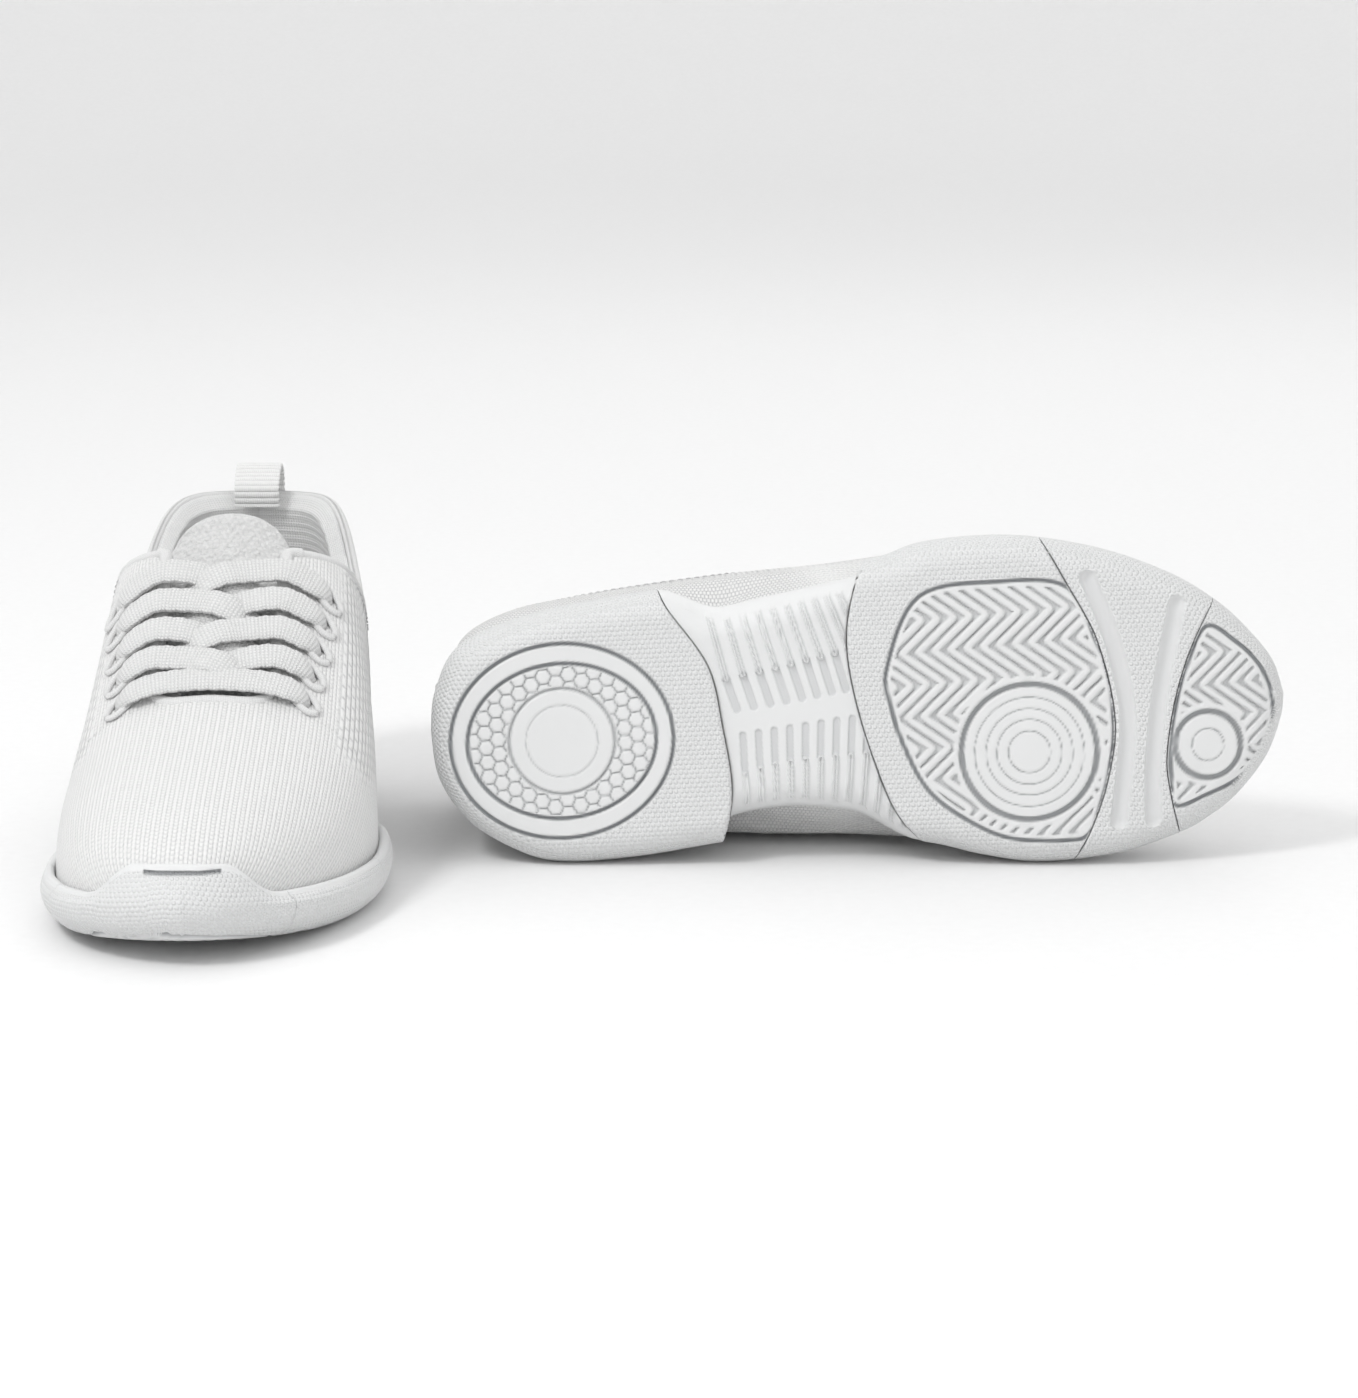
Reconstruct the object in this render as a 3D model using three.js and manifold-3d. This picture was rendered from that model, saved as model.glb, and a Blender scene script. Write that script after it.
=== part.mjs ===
// A pair of low knit cheer shoes in millimetres, +Z up. The left shoe stands on its sole with the
// toe toward -Y. The right shoe lies on its medial side, with the toe toward +X and the sole
// facing -Y. The origin is at the bottom centre of the pair's box.
//
// Every piece is first made in a shoe frame of its own: u runs from the heel to the toe, v points
// to the lateral side (outer side of the foot) and w is up from the ground.
import * as THREE from 'three';
import Module from 'manifold-3d';
import { mergeVertices } from 'three/addons/utils/BufferGeometryUtils.js';

const wasm = await Module();
wasm.setup();

// ---------------------------------------------------------------- driving dimensions
const LENGTH = 230;             // sole, heel to toe
const GAP = 0.3;                // clearance between touching pieces
const WALL = 3.6;               // thickness of the outsole cup's wall
const FLOOR = 4.2;              // thickness of the outsole under the foam
const ARCH_LIFT = 2.4;          // how far the shank stands clear of the ground
const TOE_SPRING = 7.5;         // rise of the sole at the toe tip
const SPRING_FROM = 160;        // where that rise begins
const UPPER_START = WALL + GAP; // the knit upper's rearmost and foremost places in the cup
const UPPER_END = LENGTH - WALL - GAP;
const KNIT = 2.4;               // thickness of the knit upper
const COUNTER = 1.5;            // thickness of the heel counter
const LINING = 3.6;             // thickness of the padded collar lining
const BOARD = 1.4;              // thickness of the lasting board
const SOCKLINER = 3.4;          // thickness of the sockliner
const COLLAR_TOP = 84;          // knit edge at the heel, under the rolled piping
const PIPING_RADIUS = 1.4;
const THROAT_BASE = 150;        // front end of the lacing slot
const THROAT_HALF = 14.5;       // half the slot's width
const BINDING_RADIUS = 1.6;
const WEBBING_WIDTH = 12.8;
const WEBBING_THICK = 1.2;
const TONGUE_THICK = 3.6;
const TONGUE_DEPTH = 7.4;        // tongue's outer face below the upper's outer face
const TONGUE_HALF = 17.5;       // half the tongue's width
const TONGUE_FOLD = 102;        // where the tongue's free end folds
const TONGUE_FOLD_W = 75.5;
const FOLD_SLOPE = Math.tan(THREE.MathUtils.degToRad(26));
const LACE_RADIUS = 1.2;
const EYELET_ROWS = 5;
const EYELET_RADIUS = 3.2;
const FIRST_EYELET = 146;       // u of the lowest row, then one row every EYELET_PITCH
const EYELET_PITCH = 8.6;
const FLEX_AXIS_U = 189;        // toe flex line under the ball of the foot
const FLEX_AXIS_W = 8;
const FLEX_HALF = 5;            // half the flex zone's length at its axis
const FLEX_SLOPE = Math.tan(THREE.MathUtils.degToRad(17));
const LYING_LEAN = 6.4;         // degrees that the lying shoe leans onto its upper
const LYING_SWING = 2.45;       // degrees between its axis and the ground it lies on
const EDGE_RADIUS = 9;          // rounding of the sole's edge
const HEEL_CONTACT = 35;        // where the heel's medial edge meets the ground
const LEFT_PLACE = [-121.2, 113.7];
const RIGHT_PLACE = [-66.7, 0];
const STATIONS = 18;            // sections along an upper shell
const SECTION_POINTS = 13;      // points across one section, an odd number
const OUTLINE_STATIONS = 18;    // points along each side of a sole outline

// Outlines as half-widths [u, half-width], heel to toe.
const POD_LATERAL = [[0, 0], [1.7, 11], [9.4, 23.3], [31, 31], [60, 35.3], [90, 38], [119, 41.2],
  [133, 45.2], [150, 46.4], [165, 45.2], [183, 41], [200, 34], [212, 26.2], [220, 18.6],
  [227, 9.5], [230, 0]];
const POD_MEDIAL = [[0, 0], [1.7, 13], [9.4, 24.8], [23, 33.6], [35, 36.7], [55, 36], [80, 33],
  [105, 32], [131, 35.4], [147, 39.6], [162, 42.1], [183, 40.8], [200, 36.2], [208, 32.4],
  [216, 26.8], [224.5, 17], [229, 6.6], [230, 0]];
const SHANK_LATERAL = [[50, 30], [75, 29.6], [90, 32], [107, 35], [125, 38], [140, 40]];
const SHANK_MEDIAL = [[50, 31], [70, 29], [84, 25.6], [95, 24.5], [105, 25.2], [118, 27.5], [140, 32]];
const GIRTH_LATERAL = [[3.9, 0], [6, 15], [10, 23.4], [22, 29.4], [40, 32.6], [62, 35], [83, 36.6],
  [107, 38.4], [128, 41], [148, 42.2], [165, 41], [183, 36.8], [200, 30], [211, 23], [219, 15.4],
  [224.5, 7.6], [226.1, 0]];
const GIRTH_MEDIAL = [[3.9, 0], [6, 16], [10, 23.6], [22, 30], [36, 32.4], [55, 32.4], [75, 33.2],
  [94, 34.4], [112, 35], [130, 36.6], [147, 38.4], [165, 39], [183, 37.2], [200, 32.2], [209, 27.6],
  [217, 21], [223, 12.4], [226.1, 0]];
// Height of the top of each section, its squareness, and the heel's profile.
const CREST = [[0, 118], [54, 118], [65, 115], [75, 107.5], [85, 99], [95, 91], [110, 80],
  [125, 69], [140, 58.4], [150, 52.4], [160, 48.6], [175, 44], [190, 39.6], [205, 34.6],
  [215, 30], [222, 25], [230, 16]];
const SQUARENESS = [[0, 3], [60, 3.2], [85, 5], [100, 6], [115, 6], [130, 5], [145, 4], [160, 3.2],
  [180, 2.8], [230, 2.5]];
const HEEL_PROFILE = [[0, 0.5], [14, 0.3], [30, -0.9], [45, -1.3], [60, -0.2], [75, 1.7], [86, 2.7],
  [118, 3]];
// Middles of the round grooves in the heel, ball and toe, the lines of the two grooves across the
// flex band, and their sizes.
const HEEL_RING = [35.5, -3.5];
const BALL_DISC = [159.8, -11.6];
const TOE_DISC = [207.8, -12];
const ROUND_GROOVE_DEPTH = 1.4;
const FLEX_GROOVES = [
  [[177, 34], [183, 17], [186.4, -2], [185, -18], [183, -31]],
  [[200.6, 26], [196.4, 8], [194, -6], [192.6, -19], [192.4, -31]],
];
const FLEX_GROOVE_RADIUS = 2.1;
// Sole parting lines as [u, v] from the lateral edge to the medial edge.
const HEEL_LINE = [[60, 44], [64, 32], [75, 15], [78.4, -2], [80.2, -18], [78, -31], [72, -44]];
const BALL_LINE = [[122, 50], [115.3, 35], [112.4, 22], [113.4, 8], [118, -11], [125.3, -29], [140, -44]];
const FLEX_LINE = [[160, 54], [170.7, 34], [178.9, 17.3], [183, -3.5], [180.6, -20], [174.8, -35],
  [166, -50]];
const TOE_LINE = [[220, 38], [207.8, 21.4], [200.4, 4.2], [196.7, -13.8], [197.4, -25], [200, -36],
  [206, -50]];
// Collar edge seen from the side as [u, w], from the heel forward.
const TOPLINE = [[-8, COLLAR_TOP + 0.6], [8, COLLAR_TOP], [20, 81], [34, 70.5], [50, 61.5],
  [62, 58.6], [74, 61], [84, 68.5], [92, 76.5], [99, 81.5], [104, 84]];

// ---------------------------------------------------------------- measuring along the shoe
const clamp = THREE.MathUtils.clamp;
const mix = THREE.MathUtils.lerp;
const smooth = THREE.MathUtils.smoothstep;

// A smooth curve through the points, as a function of their first coordinate.
function curveThrough(points) {
  const dense = new THREE.SplineCurve(points.map(([x, y]) => new THREE.Vector2(x, y)))
    .getPoints(points.length * 12);
  return (x) => {
    const next = clamp(dense.findIndex((point) => point.x > x), 1, dense.length - 1);
    const end = x >= dense[dense.length - 1].x ? dense.length - 1 : next;
    const a = dense[end - 1];
    const b = dense[end];
    return mix(a.y, b.y, clamp((x - a.x) / Math.max(b.x - a.x, 1e-6), 0, 1));
  };
}

const pod = { lateral: curveThrough(POD_LATERAL), medial: curveThrough(POD_MEDIAL) };
const shank = { lateral: curveThrough(SHANK_LATERAL), medial: curveThrough(SHANK_MEDIAL) };
const girth = { lateral: curveThrough(GIRTH_LATERAL), medial: curveThrough(GIRTH_MEDIAL) };
const crest = curveThrough(CREST);
const squareness = curveThrough(SQUARENESS);
const heelProfile = curveThrough(HEEL_PROFILE);
const topline = curveThrough(TOPLINE);

// Height of the sole's underside, and of the foam that the foot's board lies on.
const ground = (u) => TOE_SPRING * Math.max(0, (u - SPRING_FROM) / (LENGTH - SPRING_FROM)) ** 2
  + 1.6 * Math.max(0, 1 - u / 14) ** 2;
const foamTop = (u) => ground(u) + mix(12.6, 8.4, smooth(u, 50, 135));

// Half-width after moving the outline inward; the move fades out at the pointed ends.
const inward = (half, inset) => half - inset * (1 - Math.exp(-half / 8));

// Half-width of the arch, narrower than the pods at both of its ends.
function soleHalf(side, u) {
  const isShank = smooth(u, 66, 76) * (1 - smooth(u, 116, 128));
  return mix(pod[side](u), Math.min(pod[side](u), shank[side](u)), isShank);
}

// Half-width of the upper at a place and height: inside the cup below, the girth above.
function upperHalf(side, u, w) {
  const span = (UPPER_END - UPPER_START) / LENGTH;
  const inCup = inward(soleHalf(side, (u - UPPER_START) / span), UPPER_START);
  return mix(inCup, girth[side](u), smooth(w, foamTop(u) + 3, foamTop(u) + 20));
}

// Height of the upper's outer face above a point of the plan.
function faceHeight(u, v) {
  const half = girth[v < 0 ? 'medial' : 'lateral'](u);
  const base = foamTop(u);
  const rise = Math.max(0, 1 - (v / half) ** 2) ** (1 / squareness(u));
  return base + (crest(u) - base) * rise;
}

// ---------------------------------------------------------------- solids
// A solid from closed rings of points, with both ends closed by ladders across the ring.
function stack(rings, mate) {
  const count = rings[0].length;
  const index = [];
  const quad = (a, b, c, d) => index.push(a, b, c, a, c, d);
  for (let r = 0; r + 1 < rings.length; r += 1) {
    for (let i = 0; i < count; i += 1) {
      const j = (i + 1) % count;
      quad(r * count + i, r * count + j, (r + 1) * count + j, (r + 1) * count + i);
    }
  }
  const last = (rings.length - 1) * count;
  for (let i = 0; i < Math.floor(count / 2); i += 1) {
    quad(mate(i), mate(i + 1), i + 1, i);
    quad(last + i, last + i + 1, last + mate(i + 1), last + mate(i));
  }
  const whole = [];
  for (let t = 0; t < index.length; t += 3) {
    const [a, b, c] = index.slice(t, t + 3);
    if (a !== b && b !== c && c !== a) {
      whole.push(a, b, c);
    }
  }
  return { points: rings.flat(), index: whole };
}

// A manifold solid from points and triangles, turned so that its faces point out.
function toSolid({ points, index }) {
  const triangles = Uint32Array.from(index);
  let volume = 0;
  for (let t = 0; t < triangles.length; t += 3) {
    const [a, b, c] = [0, 1, 2].map((k) => points[triangles[t + k]]);
    volume += a.dot(b.clone().cross(c));
  }
  if (volume < 0) {
    triangles.reverse();
  }
  const vertProperties = Float32Array.from(points.flatMap((point) => point.toArray()));
  return new wasm.Manifold(new wasm.Mesh({ numProp: 3, vertProperties, triVerts: triangles }));
}

// A manifold solid from a closed three.js geometry.
function fromGeometry(source) {
  const bare = source.clone();
  bare.deleteAttribute('normal');
  bare.deleteAttribute('uv');
  const merged = mergeVertices(bare, 1e-4);
  const place = merged.getAttribute('position');
  const points = [];
  for (let i = 0; i < place.count; i += 1) {
    points.push(new THREE.Vector3().fromBufferAttribute(place, i));
  }
  return toSolid({ points, index: merged.index.array });
}

const acrossSection = (i) => SECTION_POINTS - 1 - i;
const acrossOutline = (i) => (2 * OUTLINE_STATIONS - i) % (2 * OUTLINE_STATIONS);

// The closed form inside the upper's outer face moved inward by inset, its foot lowered by sink.
function lastForm(inset, sink = 0) {
  const rings = [];
  const start = UPPER_START + inset;
  const end = UPPER_END - inset;
  for (let i = 0; i <= STATIONS; i += 1) {
    const along = clamp(0.5 - 0.5 * Math.cos((Math.PI * i) / STATIONS), 0.0016, 0.9984);
    const u = mix(start, end, along);
    const outer = mix(UPPER_START, UPPER_END, along);
    const base = foamTop(outer) + GAP;
    const top = crest(outer) - inset;
    const ring = [];
    for (let k = 0; k < SECTION_POINTS; k += 1) {
      const angle = (Math.PI * k) / (SECTION_POINTS - 1);
      const side = k > SECTION_POINTS / 2 ? 'medial' : 'lateral';
      const w = base + (top - base) * Math.sin(angle) ** (2 / squareness(outer));
      const v = inward(upperHalf(side, outer, w), inset) * Math.cos(angle);
      const back = heelProfile(w) * Math.max(0, 1 - outer / 70) ** 2;
      const isFoot = k === 0 || k === SECTION_POINTS - 1;
      ring.push(new THREE.Vector3(u + back, v, isFoot ? w - sink : w));
    }
    rings.push(ring);
  }
  return toSolid(stack(rings, acrossSection));
}

// A shell between two insets, open below.
const shell = (outer, inner) => lastForm(outer).subtract(lastForm(inner, 6));

// One ring of a sole outline, moved inward, at heights given by a function of u and v.
function outlineRing(half, inset, height) {
  const lateral = [];
  const medial = [];
  for (let i = 0; i <= OUTLINE_STATIONS; i += 1) {
    const at = LENGTH * (0.5 - 0.5 * Math.cos((Math.PI * i) / OUTLINE_STATIONS));
    const u = mix(inset, LENGTH - inset, at / LENGTH);
    const left = inward(half('lateral', at), inset);
    const right = -inward(half('medial', at), inset);
    lateral.push(new THREE.Vector3(u, left, height(u, left)));
    medial.push(new THREE.Vector3(u, right, height(u, right)));
  }
  return [...lateral, ...medial.slice(1, -1).reverse()];
}

// Region of the side view, given as [u, w] points, through the whole width.
function sideRegion(points) {
  const shape = new THREE.Shape(points.map(([u, w]) => new THREE.Vector2(u, w)));
  const geometry = new THREE.ExtrudeGeometry(shape, { depth: 140, bevelEnabled: false });
  geometry.rotateX(Math.PI / 2);
  geometry.translate(0, 70, 0);
  return fromGeometry(geometry);
}

// Region of the plan, given as [u, v] points, through the heights from low to high.
function planRegion(points, low, high) {
  const shape = new THREE.Shape(points.map(([u, v]) => new THREE.Vector2(u, v)));
  const geometry = new THREE.ExtrudeGeometry(shape, { depth: high - low, bevelEnabled: false });
  geometry.translate(0, 0, low);
  return fromGeometry(geometry);
}

// A round tube along points in space.
function tube(points, radius, steps, sides = 8) {
  const path = new THREE.CatmullRomCurve3(points.map((point) => new THREE.Vector3(...point)));
  const ring = new THREE.Shape();
  for (let i = 0; i < sides; i += 1) {
    const angle = (2 * Math.PI * i) / sides;
    const corner = [radius * Math.cos(angle), radius * Math.sin(angle)];
    if (i === 0) {
      ring.moveTo(...corner);
    } else {
      ring.lineTo(...corner);
    }
  }
  return fromGeometry(new THREE.ExtrudeGeometry(ring, { steps, extrudePath: path }));
}

// ---------------------------------------------------------------- regions that split the shoe
const samples = (line) => new THREE.SplineCurve(line.map(([u, v]) => new THREE.Vector2(u, v)))
  .getPoints(9).map((point) => [point.x, point.y]);

// The plan between two parting lines, each moved by half the gap.
function between(rearLine, frontLine) {
  const rear = rearLine ? samples(rearLine).map(([u, v]) => [u + GAP / 2, v]) : [[-30, 60], [-30, -60]];
  const front = frontLine ? samples(frontLine).map(([u, v]) => [u - GAP / 2, v]) : [[260, 60], [260, -60]];
  return planRegion([...rear, ...front.reverse()], -10, 60);
}

// The flex zone is a wedge that opens upward from the flex axis.
const flexEdge = (direction, w, gap) => FLEX_AXIS_U
  + direction * (FLEX_HALF + gap + Math.max(0, w - FLEX_AXIS_W) * FLEX_SLOPE);
const WEDGE_TOP = 60;
const rearZone = sideRegion([[-30, -20], [flexEdge(-1, 0, 0), -20], [flexEdge(-1, 0, 0), FLEX_AXIS_W],
  [flexEdge(-1, WEDGE_TOP, 0), WEDGE_TOP], [flexEdge(-1, 140, 0), 140], [-30, 140]]);
const flexZone = sideRegion([[flexEdge(-1, 0, -GAP), -20], [flexEdge(1, 0, -GAP), -20],
  [flexEdge(1, 0, -GAP), FLEX_AXIS_W], [flexEdge(1, WEDGE_TOP, -GAP), WEDGE_TOP],
  [flexEdge(-1, WEDGE_TOP, -GAP), WEDGE_TOP], [flexEdge(-1, 0, -GAP), FLEX_AXIS_W]]);
const toeZone = sideRegion([[flexEdge(1, 0, 0), -20], [260, -20], [260, WEDGE_TOP],
  [flexEdge(1, WEDGE_TOP, 0), WEDGE_TOP], [flexEdge(1, 0, 0), FLEX_AXIS_W]]);

// ---------------------------------------------------------------- sole
// Top edge of the cup's wall: low at the sides, raised over the toe and behind the heel.
function wallTop(u, v) {
  const side = mix(18.5, 12.5, smooth(u, 45, 85)) + ground(u) * 0.6;
  const heelBumper = 11 * smooth(-u, -12, -1) * (1 - smooth(Math.abs(v), 9, 27));
  const toeBumper = 8 * smooth(u, 212, 226) * (1 - smooth(Math.abs(v), 14, 30));
  return side + heelBumper + toeBumper;
}

function cup(half, lift) {
  const under = (u) => ground(u) + lift;
  const rings = [
    outlineRing(half, WALL + 0.2, (u) => under(u) + FLOOR - lift),
    outlineRing(half, WALL, wallTop),
    outlineRing(half, 0.9, wallTop),
    outlineRing(half, 0, (u) => under(u) + 9),
    outlineRing(half, 2.6, (u) => under(u) + 2.6),
    outlineRing(half, 8, under),
  ];
  return toSolid(stack(rings, acrossOutline));
}

// A layer lying in the cup, between two heights given as functions of u.
function layer(inset, low, high) {
  const rings = [outlineRing(soleHalf, inset, low), outlineRing(soleHalf, inset, high)];
  return toSolid(stack(rings, acrossOutline));
}

// A shallow round groove in the underside of the sole.
function roundGroove([u, v], outer, inner) {
  const depth = ROUND_GROOVE_DEPTH;
  const profile = [[inner, -5], [outer, -5], [outer, depth], [inner, depth], [inner, -5]]
    .map(([radius, w]) => new THREE.Vector2(radius, w));
  const geometry = new THREE.LatheGeometry(profile, 18);
  geometry.rotateX(Math.PI / 2);
  geometry.translate(u, v, ground(u));
  return fromGeometry(geometry);
}

// A round-ended slot across the sole along a line of [u, v] points.
function crossGroove(points, radius) {
  return tube(points.map(([u, v]) => [u, v, ground(u) - 0.6]), radius, 6, 6);
}

function makeSole(pieces) {
  const podHalf = (side, u) => pod[side](u);
  const foot = lastForm(-GAP);
  const pods = cup(podHalf, 0).subtract(foot);
  const arch = cup(soleHalf, ARCH_LIFT).subtract(foot);
  pieces.outsole_heel_pod = pods.intersect(between(null, HEEL_LINE))
    .subtract(roundGroove(HEEL_RING, 27.5, 25.4));
  pieces.outsole_arch_shank = arch.intersect(between(HEEL_LINE, BALL_LINE));
  pieces.outsole_forefoot_pod = pods.intersect(between(BALL_LINE, FLEX_LINE))
    .subtract(roundGroove(BALL_DISC, 18.6, 17));
  pieces.outsole_flex_band = pods.intersect(between(FLEX_LINE, TOE_LINE))
    .subtract(crossGroove(FLEX_GROOVES[0], FLEX_GROOVE_RADIUS))
    .subtract(crossGroove(FLEX_GROOVES[1], FLEX_GROOVE_RADIUS));
  pieces.outsole_toe_pod = pods.intersect(between(TOE_LINE, null))
    .subtract(roundGroove(TOE_DISC, 9.4, 8.2));

  const foam = layer(WALL + 2 * GAP, (u) => ground(u) + FLOOR + GAP, foamTop);
  pieces.midsole_foam = foam.intersect(rearZone);
  pieces.midsole_foam_toe = foam.intersect(toeZone);
  const boardInset = UPPER_START + KNIT + COUNTER + 3 * GAP;
  const boardTop = (u) => foamTop(u) + GAP + BOARD;
  const board = layer(boardInset, (u) => foamTop(u) + GAP, boardTop);
  pieces.lasting_board = board.intersect(rearZone);
  pieces.lasting_board_toe = board.intersect(toeZone);
  const liner = layer(boardInset, (u) => boardTop(u) + GAP, (u) => boardTop(u) + GAP + SOCKLINER);
  pieces.sockliner = liner.intersect(rearZone);
  pieces.sockliner_toe = liner.intersect(toeZone);
}

// ---------------------------------------------------------------- upper
// Everything above a line that runs parallel to the collar edge, a distance below it.
function aboveCollar(distance, front) {
  const edge = [];
  for (let u = -8; u <= front; u += 4) {
    const slope = (topline(u + 1) - topline(u - 1)) / 2;
    edge.push([u, topline(u) - distance * Math.hypot(1, slope)]);
  }
  return sideRegion([...edge, [front, 150], [-30, 150], [-30, edge[0][1]]]);
}

// The lacing slot, widened by grow, from its round front end back into the collar.
function slotRegion(grow, low = 20) {
  const half = THROAT_HALF + grow;
  const front = THROAT_BASE + grow;
  const corner = 7;
  const points = [[60, half + 1.5], [front - corner, half]];
  for (let turn = 0; turn <= 4; turn += 1) {
    const angle = (Math.PI / 2) * (turn / 4);
    points.push([front - corner + corner * Math.sin(angle), half - corner + corner * Math.cos(angle)]);
  }
  const mirrored = points.map(([u, v]) => [u, -v]).reverse();
  return planRegion([...points, ...mirrored], low, 150);
}

const eyeletU = (row) => FIRST_EYELET - EYELET_PITCH * row;
const eyeletV = (row) => 23.4 + 0.9 * row;

// Outward direction of the upper's face at a place of the plan.
function faceNormal(u, v) {
  const step = 0.5;
  const slopeU = (faceHeight(u + step, v) - faceHeight(u - step, v)) / (2 * step);
  const slopeV = (faceHeight(u, v + step) - faceHeight(u, v - step)) / (2 * step);
  return new THREE.Vector3(-slopeU, -slopeV, 1).normalize();
}

// A point at a height above the upper's face, along its outward direction.
function onFace(u, v, above) {
  const point = new THREE.Vector3(u, v, faceHeight(u, v));
  return point.addScaledVector(faceNormal(u, v), above).toArray();
}

function eyeletHoles() {
  const holes = [];
  for (let row = 0; row < EYELET_ROWS; row += 1) {
    for (const side of [1, -1]) {
      const place = new THREE.Vector3(...onFace(eyeletU(row), side * eyeletV(row), 0));
      const turn = new THREE.Quaternion()
        .setFromUnitVectors(new THREE.Vector3(0, 1, 0), faceNormal(eyeletU(row), side * eyeletV(row)));
      const drill = new THREE.CylinderGeometry(EYELET_RADIUS, EYELET_RADIUS, 12, 6);
      drill.applyQuaternion(turn);
      drill.translate(...place.toArray());
      holes.push(fromGeometry(drill));
    }
  }
  return holes;
}

function makeUpper(pieces) {
  const cutDrop = 2 * PIPING_RADIUS + GAP;
  const knit = eyeletHoles().reduce((solid, hole) => solid.subtract(hole),
    shell(0, KNIT).subtract(aboveCollar(cutDrop, 104)).subtract(slotRegion(BINDING_RADIUS + GAP)));
  pieces.upper_quarters = knit.intersect(rearZone);
  pieces.upper_flex_panel = knit.intersect(flexZone);
  pieces.upper_toe_box = knit.intersect(toeZone);

  const heelZone = sideRegion([[-30, 15], [60, 15], [52, 34], [40, 44], [-30, 47]]);
  pieces.heel_counter = shell(KNIT + GAP, KNIT + GAP + COUNTER).intersect(heelZone);

  const liningInset = KNIT + COUNTER + 2 * GAP;
  const liningZone = sideRegion([[-30, 24], [70, 24], [93, 40], [93, 150], [-30, 150]]);
  pieces.collar_lining = shell(liningInset, liningInset + LINING)
    .intersect(liningZone)
    .subtract(aboveCollar(0.6, 104))
    .subtract(planRegion([[60, 23], [120, 23], [120, -23], [60, -23]], 40, 150));

  // Rolled piping along the collar edge, from one lacing corner around the heel to the other.
  const edge = [98, 88, 76, 63, 50, 36, 23, 13];
  const rimPoint = (u, side) => {
    const w = topline(u) - PIPING_RADIUS;
    const half = upperHalf(side > 0 ? 'lateral' : 'medial', u, w)
      * Math.max(0, 1 - ((w - foamTop(u)) / (crest(u) - foamTop(u))) ** squareness(u)) ** 0.5;
    return [u + heelProfile(w) * Math.max(0, 1 - u / 70) ** 2, side * (half - KNIT / 2), w];
  };
  const back = UPPER_START + KNIT / 2 + heelProfile(COLLAR_TOP);
  const behind = [[back + 1, 13, COLLAR_TOP - PIPING_RADIUS], [back, 0, COLLAR_TOP - PIPING_RADIUS],
    [back + 1, -13, COLLAR_TOP - PIPING_RADIUS]];
  pieces.collar_piping = tube([...edge.map((u) => rimPoint(u, 1)), ...behind,
    ...edge.reverse().map((u) => rimPoint(u, -1))], PIPING_RADIUS, 24, 5);

  makeThroat(pieces);
}

function makeThroat(pieces) {
  // Rolled binding around the slot, laid just above the knit edge.
  const half = THROAT_HALF;
  const along = [104, 116, 128, 138, 145];
  const bindingSide = (side) => along.map((u) => onFace(u, side * (half + (150 - u) * 0.015), -0.6));
  pieces.throat_binding = tube([...bindingSide(1), onFace(148.5, 11, -0.6), onFace(THROAT_BASE, 4, -0.6),
    onFace(THROAT_BASE, -4, -0.6), onFace(148.5, -11, -0.6), ...bindingSide(-1).reverse()],
  BINDING_RADIUS, 16, 5);

  const overlay = eyeletHoles().reduce((solid, hole) => solid.subtract(hole),
    lastForm(-GAP - 1).subtract(lastForm(-GAP, 6)).intersect(rearZone));
  for (const [name, side] of [['lateral', 1], ['medial', -1]]) {
    const inner = side * (half + BINDING_RADIUS + 2 * GAP + 1);
    const plan = planRegion([[105, inner], [149, inner], [151, side * 21], [149, side * 27],
      [112, side * 30.5], [105, side * 29.5]], 44, 120);
    pieces[`eyestay_${name}`] = overlay.intersect(plan);
  }

  // Tongue under the slot. Its free end folds forward above the top lace, into a notch that opens
  // upward from the fold.
  const padded = shell(TONGUE_DEPTH, TONGUE_DEPTH + TONGUE_THICK);
  const plan = [[150, TONGUE_HALF], [158, TONGUE_HALF - 2], [160, 0], [158, 2 - TONGUE_HALF],
    [150, -TONGUE_HALF]];
  for (let i = 0; i <= 8; i += 1) {
    const angle = (Math.PI * i) / 8;
    plan.push([94 - 8 * Math.sin(angle), -TONGUE_HALF * Math.cos(angle)]);
  }
  const whole = padded.intersect(planRegion(plan, 30, 120));
  const high = 120;
  const notch = (high - TONGUE_FOLD_W) * FOLD_SLOPE;
  const front = TONGUE_FOLD + GAP;
  pieces.tongue = whole.intersect(sideRegion([[front, 30], [170, 30], [170, high], [front + notch, high],
    [front, TONGUE_FOLD_W]]));
  pieces.tongue_tip = whole.intersect(sideRegion([[60, 50], [TONGUE_FOLD, 50], [TONGUE_FOLD, TONGUE_FOLD_W],
    [TONGUE_FOLD - notch, high], [60, high]]));
}

// ---------------------------------------------------------------- heel webbing
// Rear face of the heel at a height.
const heelFace = (w) => UPPER_START + heelProfile(w);

// A band of webbing whose edge is drawn in the side view and extruded across the heel.
function band(centreLine, thickness) {
  const line = new THREE.SplineCurve(centreLine.map(([u, w]) => new THREE.Vector2(u, w)));
  const steps = 3 * (centreLine.length - 1);
  const near = [];
  const far = [];
  for (let i = 0; i <= steps; i += 1) {
    const point = line.getPoint(i / steps);
    const tangent = line.getTangent(i / steps);
    const aside = [(-tangent.y * thickness) / 2, (tangent.x * thickness) / 2];
    near.push([point.x + aside[0], point.y + aside[1]]);
    far.push([point.x - aside[0], point.y - aside[1]]);
  }
  const outline = [...near, ...far.reverse()].map(([u, w]) => new THREE.Vector2(u, w));
  const geometry = new THREE.ExtrudeGeometry(new THREE.Shape(outline),
    { depth: WEBBING_WIDTH, bevelEnabled: false });
  geometry.rotateX(Math.PI / 2);
  geometry.translate(0, WEBBING_WIDTH / 2, 0);
  return fromGeometry(geometry);
}

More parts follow.
